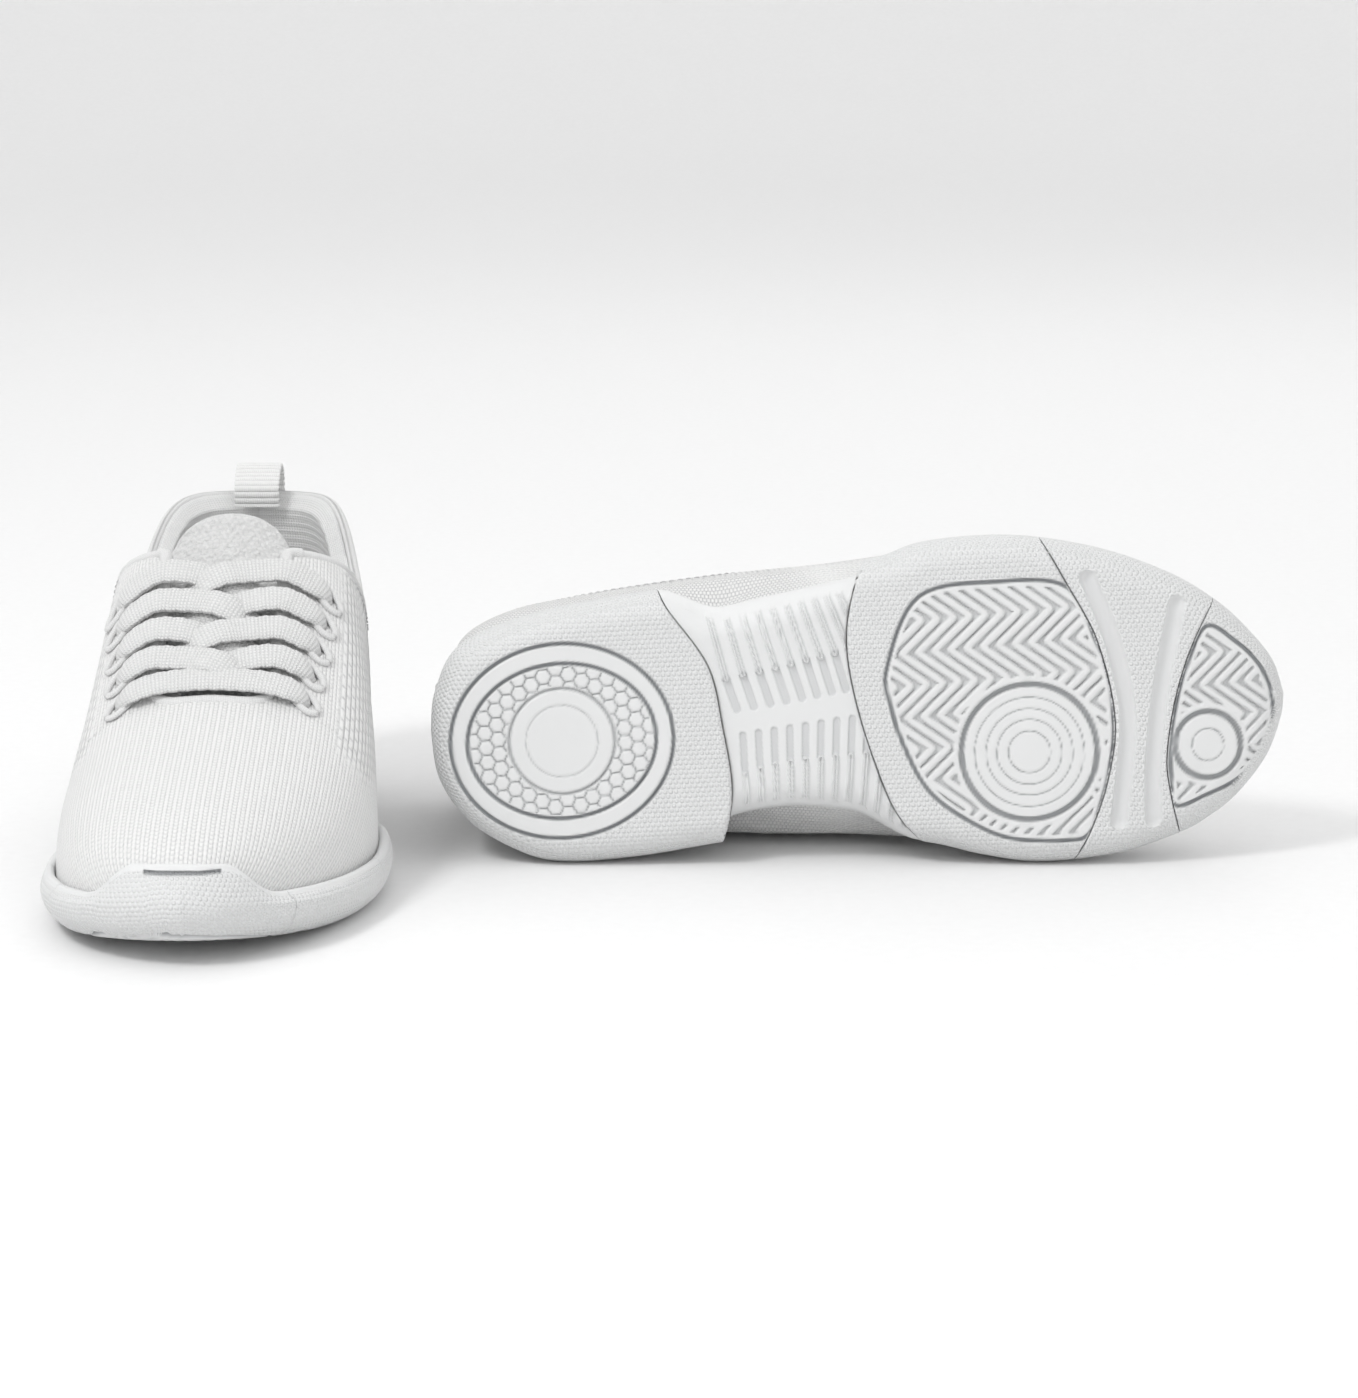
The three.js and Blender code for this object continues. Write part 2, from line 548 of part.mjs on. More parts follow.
function makeWebbing(pieces) {
  const off = GAP + WEBBING_THICK / 2 + 0.1;
  const strip = [31.5, 42, 52, 62, 70.5].map((w) => [heelFace(w) - off, w]);
  pieces.heel_strip = band(strip, WEBBING_THICK);
  const inside = heelFace(COLLAR_TOP) + KNIT + COUNTER + LINING + 2 * GAP + off + 1.1;
  const top = 92.2 - WEBBING_THICK / 2;
  pieces.pull_loop = band([[heelFace(72) - off, 71.2], [-0.1, 76], [-1.9, 82], [-1.3, 88],
    [3, top - 0.6], [7.5, top], [11.4, top - 1.2], [inside, 86.5], [inside, 81]], WEBBING_THICK);
}

// ---------------------------------------------------------------- lace
// The lace in one length: a bar across the lowest eyelets, then four crossings, and both ends
// tucked in at the top eyelets.
function laceRun(firstSide, overFirst) {
  const run = [];
  let side = firstSide;
  for (let row = 0; row + 1 < EYELET_ROWS; row += 1) {
    const u = eyeletU(row);
    const nextU = eyeletU(row + 1);
    const v = eyeletV(row);
    const under = -KNIT - GAP - LACE_RADIUS - 0.7;
    const over = (row % 2 === 0) === overFirst;
    run.push(onFace(u, side * (v + 0.3), 1.2));
    run.push(onFace(u, side * v, -2.4));
    run.push(onFace(u - 1, side * (v - 3), under));
    run.push(onFace(u - 2.4, side * 12.5, under));
    run.push(onFace(u - 3.2, side * 6, over ? 0 : -1.8));
    run.push(onFace(u - EYELET_PITCH / 2, 0, over ? 4.4 : 0.6));
    run.push(onFace(nextU + 2.4, -side * 9, 4.4));
    run.push(onFace(nextU + 1.2, -side * 15.5, 4.6));
    run.push(onFace(nextU + 0.2, -side * (eyeletV(row + 1) - 2.2), 3.8));
    side = -side;
  }
  const last = EYELET_ROWS - 1;
  run.push(onFace(eyeletU(last), side * (eyeletV(last) + 0.3), 1.2));
  run.push(onFace(eyeletU(last), side * eyeletV(last), -2.4));
  run.push(onFace(eyeletU(last), side * (eyeletV(last) - 2), -KNIT - GAP - LACE_RADIUS - 1));
  return run;
}

function makeLace(pieces) {
  const bar = [onFace(FIRST_EYELET, -21, 3.4), onFace(FIRST_EYELET, -14, 4.4),
    onFace(FIRST_EYELET, 0, 4.6), onFace(FIRST_EYELET, 14, 4.4), onFace(FIRST_EYELET, 21, 3.4)];
  const route = [...laceRun(-1, false).reverse(), ...bar, ...laceRun(1, true)];
  pieces.lace = tube(route, LACE_RADIUS, 92, 5);
}

// ---------------------------------------------------------------- the two shoes
const LOOKS = {
  outsole: { color: 0xe9eae9, roughness: 0.55 },
  midsole: { color: 0xf1f1ee, roughness: 0.7 },
  lasting: { color: 0xe4e2dc, roughness: 0.9 },
  sockliner: { color: 0xeeeeec, roughness: 0.85 },
  heel: { color: 0xf2f2f1, roughness: 0.8 },
  pull: { color: 0xf2f2f1, roughness: 0.6 },
  lace: { color: 0xf5f5f4, roughness: 0.8 },
};

function lookOf(name) {
  const key = Object.keys(LOOKS).find((word) => name.startsWith(word));
  const { color, roughness } = LOOKS[key] ?? { color: 0xf2f2f1, roughness: 0.88 };
  return new THREE.MeshStandardMaterial({ color, roughness, metalness: 0 });
}

// three.js geometry of a solid; a mirrored one belongs to the other foot.
function toGeometry(solid, mirrored) {
  const mesh = solid.getMesh();
  const places = Float32Array.from(mesh.vertProperties);
  const triangles = Uint32Array.from(mesh.triVerts);
  if (mirrored) {
    for (let i = 1; i < places.length; i += 3) {
      places[i] = -places[i];
    }
    triangles.reverse();
  }
  const geometry = new THREE.BufferGeometry();
  geometry.setAttribute('position', new THREE.BufferAttribute(places, 3));
  geometry.setIndex(new THREE.BufferAttribute(triangles, 1));
  geometry.computeVertexNormals();
  return geometry;
}

const pieces = {};
makeSole(pieces);
makeUpper(pieces);
makeWebbing(pieces);
makeLace(pieces);

function makeShoe(side, mirrored) {
  const shoe = new THREE.Group();
  for (const [name, solid] of Object.entries(pieces)) {
    const mesh = new THREE.Mesh(toGeometry(solid, mirrored), lookOf(name));
    mesh.name = `${side}_${name}`;
    shoe.add(mesh);
  }
  return shoe;
}

// The left shoe stands, its toe toward -Y.
const left = makeShoe('left', false);
left.rotation.z = -Math.PI / 2;
left.position.set(LEFT_PLACE[0], LEFT_PLACE[1], 0);

// The right shoe: swung so that heel and ball of its medial edge lie along X, then tipped onto
// that edge about the centre of its rounding.
const right = makeShoe('right', true);
const swing = THREE.MathUtils.degToRad(LYING_SWING);
const edgeV = pod.medial(HEEL_CONTACT) - EDGE_RADIUS;
right.rotation.z = -swing;
right.position.set(0, HEEL_CONTACT * Math.sin(swing) - edgeV * Math.cos(swing), -EDGE_RADIUS);
const tipped = new THREE.Group();
tipped.add(right);
tipped.rotation.x = -THREE.MathUtils.degToRad(90 + LYING_LEAN);
tipped.position.set(RIGHT_PLACE[0], RIGHT_PLACE[1], EDGE_RADIUS);

const group = new THREE.Group();
group.add(left, tipped);

export default group;
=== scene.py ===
"""A pair of low knit cheer shoes, one standing and one lying on its side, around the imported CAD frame.

Each piece is made once in a shoe frame, in millimetres: u runs from the heel to the toe, v points to
the lateral side and w is up from the sole. The left shoe is placed as it is and the right one mirrored.
"""
import math

import bmesh
import bpy
import numpy as np
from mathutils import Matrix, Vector


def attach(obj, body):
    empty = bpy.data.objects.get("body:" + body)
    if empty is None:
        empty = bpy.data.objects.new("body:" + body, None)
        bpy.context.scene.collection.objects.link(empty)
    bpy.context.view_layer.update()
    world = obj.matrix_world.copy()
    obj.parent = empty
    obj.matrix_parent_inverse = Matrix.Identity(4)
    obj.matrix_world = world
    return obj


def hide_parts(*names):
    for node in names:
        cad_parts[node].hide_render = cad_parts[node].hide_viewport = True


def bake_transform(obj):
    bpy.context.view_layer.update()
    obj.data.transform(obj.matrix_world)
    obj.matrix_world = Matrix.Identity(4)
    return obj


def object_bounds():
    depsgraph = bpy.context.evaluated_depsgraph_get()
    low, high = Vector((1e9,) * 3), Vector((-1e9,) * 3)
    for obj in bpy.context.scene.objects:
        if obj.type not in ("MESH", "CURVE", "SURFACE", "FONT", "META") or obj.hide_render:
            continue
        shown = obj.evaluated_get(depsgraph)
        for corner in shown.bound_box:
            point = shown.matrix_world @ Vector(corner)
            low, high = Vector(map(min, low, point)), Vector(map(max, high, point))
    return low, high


PI = math.pi
scene = bpy.context.scene
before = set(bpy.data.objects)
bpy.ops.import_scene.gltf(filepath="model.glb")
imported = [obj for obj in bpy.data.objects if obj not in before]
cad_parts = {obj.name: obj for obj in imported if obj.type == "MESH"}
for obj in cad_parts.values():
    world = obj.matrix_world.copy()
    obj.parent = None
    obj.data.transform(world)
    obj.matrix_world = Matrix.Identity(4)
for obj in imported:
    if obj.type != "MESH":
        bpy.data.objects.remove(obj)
CAD_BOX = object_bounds()

# ------------------------------------------------------------------ camera
low, high = CAD_BOX
AIM = (low + high) / 2 + Vector((0, 0, -0.002))
ELEVATION = math.radians(11.5)
DISTANCE = 1.18
HALF_FIELD = math.radians(9.0)
SENSOR = 36                     # millimetres wide
camera = bpy.data.objects.new("camera", bpy.data.cameras.new("camera"))
scene.collection.objects.link(camera)
scene.camera = camera
camera.data.sensor_width = SENSOR
camera.data.lens = SENSOR / 2 / math.tan(HALF_FIELD)
back = Vector((0, -math.cos(ELEVATION), math.sin(ELEVATION)))
camera.location = AIM + back * DISTANCE
camera.rotation_mode = "QUATERNION"
camera.rotation_quaternion = (-back).to_track_quat("-Z", "Y")
camera.data.clip_start = 0.02

# ------------------------------------------------------------------ dimensions shared with the CAD
# In millimetres. Each list of pairs holds a curve's points, as the CAD has them.
LENGTH = 230                    # sole, heel to toe
GAP = 0.3                       # clearance between touching pieces
WALL = 3.6                      # the outsole cup's wall
FLOOR = 4.2                     # the outsole under the foam
ARCH_LIFT = 2.4                 # how far the shank stands clear of the ground
TOE_SPRING = 7.5                # rise of the sole at the toe tip
SPRING_FROM = 160               # where that rise begins
HEEL_SPRING = 1.6               # rise of the sole's rear edge
HEEL_SPRING_TO = 14
FOAM_AT_HEEL = 12.6
FOAM_AT_BALL = 8.4
UPPER_START = 3.9
UPPER_END = 226.1
KNIT = 2.4                      # thickness of the upper
COUNTER = 1.5                   # thickness of the heel counter
LINING = 3.6
BOARD = 1.4                     # thickness of the lasting board
COLLAR_TOP = 84
PIPING_RADIUS = 1.4
WEBBING_WIDTH = 12.8
WEBBING_THICK = 1.2
TONGUE_THICK = 3.6
TONGUE_DEPTH = 7.4
TONGUE_HALF = 17.5
EYELET_ROWS = 5
FIRST_EYELET = 146
EYELET_PITCH = 8.6
LYING_LEAN = math.radians(96.4) # roll of the lying shoe from upright
LYING_SWING = math.radians(2.45)
EDGE_RADIUS = 9
HEEL_CONTACT = 35               # where the lying shoe's heel meets the ground
LEFT_PLACE = (-121.2, 113.7)
RIGHT_PLACE = (-66.7, 0.0)
TOE_BEND = ("shoe", "toe", (183, 0, 8), (197, 0, 8))

POD_LATERAL = [[0, 0], [1.7, 11], [9.4, 23.3], [31, 31], [60, 35.3], [90, 38], [119, 41.2], [133, 45.2],
               [150, 46.4], [165, 45.2], [183, 41], [200, 34], [212, 26.2], [220, 18.6], [227, 9.5], [230, 0]]
POD_MEDIAL = [[0, 0], [1.7, 13], [9.4, 24.8], [23, 33.6], [35, 36.7], [55, 36], [80, 33], [105, 32],
              [131, 35.4], [147, 39.6], [162, 42.1], [183, 40.8], [200, 36.2], [208, 32.4], [216, 26.8],
              [224.5, 17], [229, 6.6], [230, 0]]
SHANK_LATERAL = [[50, 30], [75, 29.6], [90, 32], [107, 35], [125, 38], [140, 40]]
SHANK_MEDIAL = [[50, 31], [70, 29], [84, 25.6], [95, 24.5], [105, 25.2], [118, 27.5], [140, 32]]
GIRTH_LATERAL = [[3.9, 0], [6, 15], [10, 23.4], [22, 29.4], [40, 32.6], [62, 35], [83, 36.6], [107, 38.4],
                 [128, 41], [148, 42.2], [165, 41], [183, 36.8], [200, 30], [211, 23], [219, 15.4],
                 [224.5, 7.6], [226.1, 0]]
GIRTH_MEDIAL = [[3.9, 0], [6, 16], [10, 23.6], [22, 30], [36, 32.4], [55, 32.4], [75, 33.2], [94, 34.4],
                [112, 35], [130, 36.6], [147, 38.4], [165, 39], [183, 37.2], [200, 32.2], [209, 27.6],
                [217, 21], [223, 12.4], [226.1, 0]]
CREST = [[0, 118], [54, 118], [65, 115], [75, 107.5], [85, 99], [95, 91], [110, 80], [125, 69],
         [140, 58.4], [150, 52.4], [160, 48.6], [175, 44], [190, 39.6], [205, 34.6], [215, 30], [222, 25],
         [230, 16]]
# Exponent of the upper's section at u, and how far the heel leans at height w.
SQUARENESS = [[0, 3], [60, 3.2], [85, 5], [100, 6], [115, 6], [130, 5], [145, 4], [160, 3.2], [180, 2.8],
              [230, 2.5]]
HEEL_PROFILE = [[0, 0.5], [14, 0.3], [30, -0.9], [45, -1.3], [60, -0.2], [75, 1.7], [86, 2.7], [118, 3]]
# Parting lines of the outsole in plan, and the collar's height at u.
HEEL_LINE = [[60, 44], [64, 32], [75, 15], [78.4, -2], [80.2, -18], [78, -31], [72, -44]]
BALL_LINE = [[122, 50], [115.3, 35], [112.4, 22], [113.4, 8], [118, -11], [125.3, -29], [140, -44]]
FLEX_LINE = [[160, 54], [170.7, 34], [178.9, 17.3], [183, -3.5], [180.6, -20], [174.8, -35], [166, -50]]
TOE_LINE = [[220, 38], [207.8, 21.4], [200.4, 4.2], [196.7, -13.8], [197.4, -25], [200, -36], [206, -50]]
TOPLINE = [[-8, 84.6], [8, 84], [20, 81], [34, 70.5], [50, 61.5], [62, 58.6], [74, 61], [84, 68.5],
           [92, 76.5], [99, 81.5], [104, 84]]

# ------------------------------------------------------------------ numbers and curves


def mix(a, b, t):
    return a + (b - a) * t


def smooth(x, a, b):
    t = np.clip((np.asarray(x, float) - a) / (b - a), 0, 1)
    return t * t * (3 - 2 * t)


def fall(x, a, b):
    return 1 - smooth(x, a, b)


def eased(count):
    """count numbers from 0 to 1, closer together toward both ends."""
    return 0.5 - 0.5 * np.cos(np.linspace(0, PI, count))


def unit(vectors):
    return vectors / np.maximum(np.linalg.norm(vectors, axis=-1, keepdims=True), 1e-9)


def signed_power(x, power):
    return np.sign(x) * np.abs(x) ** power


def pairs(across, along):
    """Grid of texture coordinates from two arrays that broadcast together."""
    return np.stack(np.broadcast_arrays(across, along), -1)


def spline(points, count):
    """count points on a smooth curve through the given ones, as the CAD draws it."""
    p = np.array(points, float)
    last = len(p) - 1
    t = np.linspace(0, last, count)
    i = np.minimum(np.floor(t).astype(int), last)
    f = (t - i)[:, None]
    before, here = p[np.maximum(i - 1, 0)], p[i]
    after, beyond = p[np.minimum(i + 1, last)], p[np.minimum(i + 2, last)]
    out, into = (after - before) / 2, (beyond - here) / 2
    return ((2 * here - 2 * after + out + into) * f ** 3
            + (3 * after - 3 * here - 2 * out - into) * f ** 2 + out * f + here)


def curve_through(points):
    dense = spline(points, len(points) * 12 + 1)
    return lambda x: np.interp(x, dense[:, 0], dense[:, 1])


POD = {1: curve_through(POD_LATERAL), -1: curve_through(POD_MEDIAL)}
SHANK = {1: curve_through(SHANK_LATERAL), -1: curve_through(SHANK_MEDIAL)}
GIRTH = {1: curve_through(GIRTH_LATERAL), -1: curve_through(GIRTH_MEDIAL)}
crest = curve_through(CREST)
squareness = curve_through(SQUARENESS)
heel_profile = curve_through(HEEL_PROFILE)
topline = curve_through(TOPLINE)


def ground(u):
    """Height of the sole's underside on its middle line."""
    toe = np.maximum(0, (u - SPRING_FROM) / (LENGTH - SPRING_FROM))
    heel = np.maximum(0, 1 - u / HEEL_SPRING_TO)
    return TOE_SPRING * toe ** 2 + HEEL_SPRING * heel ** 2


def foam_top(u):
    return ground(u) + mix(FOAM_AT_HEEL, FOAM_AT_BALL, smooth(u, 50, 135))


def inward(half, inset):
    """Half-width moved inward by inset, less so where the outline closes."""
    return half - inset * (1 - np.exp(-half / 8))


def pod_half(side, u):
    return POD[side](u)


def sole_half(side, u):
    is_shank = smooth(u, 60, 80) * (1 - smooth(u, 112, 130))
    return mix(POD[side](u), np.minimum(POD[side](u), SHANK[side](u)), is_shank)


def upper_half(side, u, w):
    span = (UPPER_END - UPPER_START) / LENGTH
    in_cup = inward(sole_half(side, (u - UPPER_START) / span), UPPER_START)
    return mix(in_cup, GIRTH[side](u), smooth(w - foam_top(u), 3, 20))


def section(side, outer, w, inset=0.0):
    """Points of the upper's face moved inward by inset, at stations outer and heights w."""
    along = (outer - UPPER_START) / (UPPER_END - UPPER_START)
    u = mix(UPPER_START + inset, UPPER_END - inset, along)
    base = foam_top(outer) + GAP
    t = np.clip((w - base) / (crest(outer) - inset - base), 0, 1)
    v = inward(upper_half(side, outer, w), inset) * np.sqrt(1 - t ** squareness(outer))
    return np.stack(np.broadcast_arrays(
        u + heel_profile(w) * np.maximum(0, 1 - outer / 70) ** 2, side * v, w), -1)


def face_height(u, v, inset=0.0):
    half = inward(np.where(v < 0, GIRTH[-1](u), GIRTH[1](u)), inset)
    base = foam_top(u)
    rise = np.maximum(0, 1 - (v / half) ** 2) ** (1 / squareness(u))
    return base + (crest(u) - inset - base) * rise


def face_normal(u, v, inset=0.0):
    step = 0.5
    slope_u = (face_height(u + step, v, inset) - face_height(u - step, v, inset)) / (2 * step)
    slope_v = (face_height(u, v + step, inset) - face_height(u, v - step, inset)) / (2 * step)
    return unit(np.stack([-slope_u, -slope_v, np.ones_like(slope_u)], -1))


def on_face(u, v, above, inset=0.0):
    u, v = np.asarray(u, float), np.asarray(v, float)
    point = np.stack(np.broadcast_arrays(u, v, face_height(u, v, inset)), -1)
    return point + face_normal(u, v, inset) * np.asarray(above, float)[..., None]


def lengths(path):
    return np.concatenate([[0], np.cumsum(np.linalg.norm(np.diff(path, axis=0), axis=1))])


def points_at(at, s, path):
    """Points of a path at the lengths in at, where s holds the path's own lengths."""
    return np.stack([np.interp(at, s, column) for column in path.T], 1)


def resample(path, count):
    s = lengths(path)
    return points_at(np.linspace(0, s[-1], count), s, path)


def line_distance(points, path):
    """Distance from each 2-D point to a polyline."""
    a, b = path[:-1], path[1:]
    d = b - a
    size = np.maximum((d * d).sum(1), 1e-12)
    best = np.full(len(points), 1e9)
    for start in range(0, len(points), 20000):
        p = points[start:start + 20000]
        t = np.clip(((p[:, None, :] - a) * d).sum(2) / size, 0, 1)
        gap = p[:, None, :] - (a + t[..., None] * d)
        best[start:start + 20000] = np.sqrt((gap * gap).sum(2).min(1))
    return best


def is_inside(points, ring):
    x, y = points[:, 0], points[:, 1]
    inside = np.zeros(len(points), bool)
    for (x0, y0), (x1, y1) in zip(ring, np.roll(ring, -1, 0)):
        hit = (y0 > y) != (y1 > y)
        inside ^= hit & (x < (x1 - x0) * (y - y0) / (y1 - y0 + 1e-12) + x0)
    return inside


def signed_distance(points, ring):
    """Distance to a closed outline, negative inside it."""
    d = line_distance(points, np.vstack([ring, ring[:1]]))
    return np.where(is_inside(points, ring), -d, d)


# ------------------------------------------------------------------ placing a piece in the pair's frame


def place(points, shoe):
    """Shoe frame in millimetres to the pair's frame in metres."""
    u, v, w = np.asarray(points, float).T
    if shoe == "left":
        return np.stack([LEFT_PLACE[0] + v, LEFT_PLACE[1] - u, w], 1) / 1000
    c, s = math.cos(LYING_SWING), math.sin(LYING_SWING)
    edge = float(POD[-1](HEEL_CONTACT)) - EDGE_RADIUS
    x = u * c - v * s
    y = -u * s - v * c + HEEL_CONTACT * s - edge * c
    z = w - EDGE_RADIUS
    c, s = math.cos(-LYING_LEAN), math.sin(-LYING_LEAN)
    x, y, z = RIGHT_PLACE[0] + x, RIGHT_PLACE[1] + y * c - z * s, EDGE_RADIUS + y * s + z * c
    return np.stack([x, y, z], 1) / 1000


WELD = 1e-5                     # metres; nearer points become one


class Shape:
    """Points, faces, UVs in millimetres and per-point numbers of a piece in the shoe frame."""

    def __init__(self, *numbers):
        self.points, self.faces, self.uvs = [], [], []
        self.count = 0
        self.numbers = {name: [] for name in numbers}

    def _add(self, points, given):
        start = self.count
        self.points.append(points)
        self.count += len(points)
        for name, values in self.numbers.items():
            value = given.get(name, 0.0)
            values.append(np.broadcast_to(np.asarray(value, float), (len(points),)))
        return start

    def grid(self, p, uv=None, round_columns=False, **given):
        n, m = p.shape[:2]
        start = self._add(p.reshape(-1, 3), {k: np.broadcast_to(x, (n, m)).ravel() for k, x in given.items()})
        index = start + np.arange(n * m).reshape(n, m)
        if uv is None:
            uv = np.zeros((n, m, 2))
        if round_columns:
            index = np.hstack([index, index[:, :1]])
            uv = np.concatenate([uv, uv[:, :1]], 1)
        corners = [(slice(None, -1), slice(None, -1)), (slice(None, -1), slice(1, None)),
                   (slice(1, None), slice(1, None)), (slice(1, None), slice(None, -1))]
        quads = np.stack([index[c] for c in corners], -1).reshape(-1, 4)
        self.faces.extend(quads.tolist())
        self.uvs.append(np.stack([uv[c] for c in corners], 2).reshape(-1, 2))

    def tube(self, p, uv, **given):
        """A grid closed round its columns, with a flat face at each end."""
        self.grid(p, uv, round_columns=True, **given)
        self.polygon(p[0])
        self.polygon(p[-1])

    def polygon(self, p):
        start = self._add(np.asarray(p, float), {})
        self.faces.append(list(range(start, self.count)))
        self.uvs.append(np.asarray(p, float)[:, :2])

    def mesh(self, name, shoe, sharp):
        points = place(np.vstack(self.points), shoe)
        made = bpy.data.meshes.new(name)
        made.from_pydata(points.tolist(), [], self.faces)
        layer = made.uv_layers.new(name="Fabric")
        layer.data.foreach_set("uv", np.vstack(self.uvs).astype(np.float32).ravel())
        for key, values in self.numbers.items():
            attribute = made.attributes.new(key, "FLOAT", "POINT")
            attribute.data.foreach_set("value", np.concatenate(values).astype(np.float32))
        work = bmesh.new()
        work.from_mesh(made)
        bmesh.ops.remove_doubles(work, verts=work.verts, dist=WELD)
        bmesh.ops.dissolve_degenerate(work, edges=work.edges, dist=1e-7)
        bmesh.ops.recalc_face_normals(work, faces=work.faces)
        work.to_mesh(made)
        work.free()
        made.polygons.foreach_set("use_smooth", np.ones(len(made.polygons), bool))
        made.set_sharp_from_angle(angle=math.radians(sharp))
        return made


MATERIALS = {}


def add(shape, name, look, body="shoe", replaces=None, blend=None, sharp=70):
    """Makes the piece for both shoes and hands it to the frame."""
    for shoe in ("left", "right"):
        mesh = shape.mesh(f"{shoe}_{name}", shoe, sharp)
        piece = bpy.data.objects.new(f"{shoe}_{name}_cover", mesh)
        scene.collection.objects.link(piece)
        piece.data.materials.append(MATERIALS[look])
        if blend:
            first, second, start, end = blend
            start, end = (Vector(p) for p in place([start, end], shoe))
            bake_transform(piece)
        else:
            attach(piece, f"{shoe}_{body}")
        if replaces:
            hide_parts(*[f"{shoe}_{node}" for node in replaces])


# ------------------------------------------------------------------ materials


class Field:
    """A number in a node tree that takes arithmetic."""

    def __init__(self, tree, socket):
        self.tree, self.socket = tree, socket

    def math(self, operation, *others):
        node = self.tree.nodes.new("ShaderNodeMath")
        node.operation = operation
        for slot, value in enumerate((self, *others)):
            if isinstance(value, Field):
                self.tree.links.new(value.socket, node.inputs[slot])
            else:
                node.inputs[slot].default_value = value
        return Field(self.tree, node.outputs[0])

    def __add__(self, other):
        return self.math("ADD", other)

    def __sub__(self, other):
        return self.math("SUBTRACT", other)

    def __mul__(self, other):
        return self.math("MULTIPLY", other)

    def frac(self):
        return self.math("FRACT")

    def floor(self):
        return self.math("FLOOR")

    def sin(self):
        return self.math("SINE")

    def abs(self):
        return self.math("ABSOLUTE")

    def power(self, exponent):
        return self.math("POWER", exponent)

    def most(self, other):
        return self.math("MAXIMUM", other)

    def flipped(self):
        return self * -1 + 1

    def wave(self):
        """Half a sine over each whole number."""
        return (self.frac() * PI).sin()

    def ramp(self, start, end, low=0.0, high=1.0):
        """Smooth change from low to high while this goes from start to end."""
        node = self.tree.nodes.new("ShaderNodeMapRange")
        node.interpolation_type = "SMOOTHSTEP"
        for name, value in (("From Min", start), ("From Max", end), ("To Min", low), ("To Max", high)):
            node.inputs[name].default_value = value
        self.tree.links.new(self.socket, node.inputs["Value"])
        return Field(self.tree, node.outputs["Result"])


class Look:
    """A Principled material with its colour, roughness and bump made from fields."""

    def __init__(self, name, roughness, sheen=0.0, specular=0.5, subsurface=0.0):
        self.material = bpy.data.materials.new(name)
        self.material.use_nodes = True
        self.tree = self.material.node_tree
        self.shader = self.tree.nodes["Principled BSDF"]
        for socket, value in (("Roughness", roughness), ("Sheen Weight", sheen),
                              ("Specular IOR Level", specular), ("Subsurface Weight", subsurface),
                              ("Subsurface Radius", (0.004, 0.004, 0.004))):
            self.shader.inputs[socket].default_value = value
        MATERIALS[name] = self.material

    def node(self, kind, **inputs):
        """A new node; each input is a field to join or a value to set."""
        made = self.tree.nodes.new(kind)
        if kind == "ShaderNodeMix":
            made.data_type = "RGBA"
        for socket, value in inputs.items():
            if isinstance(value, Field):
                self.tree.links.new(value.socket, made.inputs[socket])
            else:
                made.inputs[socket].default_value = value
        return made

    def uv(self):
        node = self.node("ShaderNodeUVMap")
        node.uv_map = "Fabric"
        split = self.node("ShaderNodeSeparateXYZ", Vector=Field(self.tree, node.outputs["UV"]))
        return Field(self.tree, split.outputs[0]), Field(self.tree, split.outputs[1])

    def number(self, name):
        node = self.node("ShaderNodeAttribute")
        node.attribute_name = name
        return Field(self.tree, node.outputs["Fac"])

    def noise(self, scale, detail=3.0, roughness=0.55):
        """Noise in object space; scale is in features a metre."""
        place_in = Field(self.tree, self.node("ShaderNodeTexCoord").outputs["Object"])
        node = self.node("ShaderNodeTexNoise", Scale=scale, Detail=detail, Roughness=roughness,
                         Vector=place_in)
        return Field(self.tree, node.outputs["Fac"])

    def feed(self, socket, output):
        self.tree.links.new(output, self.shader.inputs[socket])

    def colour(self, dark, light, field):
        node = self.node("ShaderNodeMix", A=(*dark, 1), B=(*light, 1), Factor=field)
        self.feed("Base Color", node.outputs["Result"])

    def roughen(self, noise, low, high):
        self.feed("Roughness", noise.ramp(0.3, 0.7, low, high).socket)

    def bump(self, height, distance):
        """Height field of 0 to 1, standing distance millimetres high."""
        node = self.node("ShaderNodeBump", Distance=distance / 1000, Height=height)
        self.feed("Normal", node.outputs["Normal"])


def stitches(x, y, wale, course):
    """Height of a plain knit: columns wale apart, V-shaped loops course apart."""
    column = (x * (1 / wale)).frac()
    side = (column - 0.5).abs()
    body = (column * PI).sin().power(0.6) * 0.65 + 0.35
    loop = ((y * (1 / course) + side * 0.7) * PI).sin().abs().power(0.7)
    return body * 0.3 + body * loop * 0.7


def bricks(x, y, wide, tall):
    """Height of a weave: rounded bricks in staggered rows."""
    row = y * (1 / tall)
    shift = (row.floor() * 0.5).frac()
    return (x * (1 / wide) + shift).wave().power(0.6) * row.wave().power(0.6)


def dots(x, y, pitch):
    """Height of round grains on a triangular lattice."""
    rows = pitch * math.sqrt(3) / 2
    row = y * (1 / rows)
    shift = (row.floor() * 0.5).frac()
    dx = (x * (1 / pitch) + shift).frac() - 0.5
    dy = (row.frac() - 0.5) * (rows / pitch)
    distance = (dx * dx + dy * dy).power(0.5)
    return distance.ramp(0.46, 0.16)


# SHADE is painted shade: the darker colour given to the hollows between stitches, ribs and strands of the
# cloths.
SHADE = (0.54, 0.545, 0.55)     # colour between the stitches
CLOTH = (0.81, 0.81, 0.805)
RIBBON = (0.80, 0.80, 0.795)
RIB_PITCH = 1.7                 # cross ribs of the grosgrain


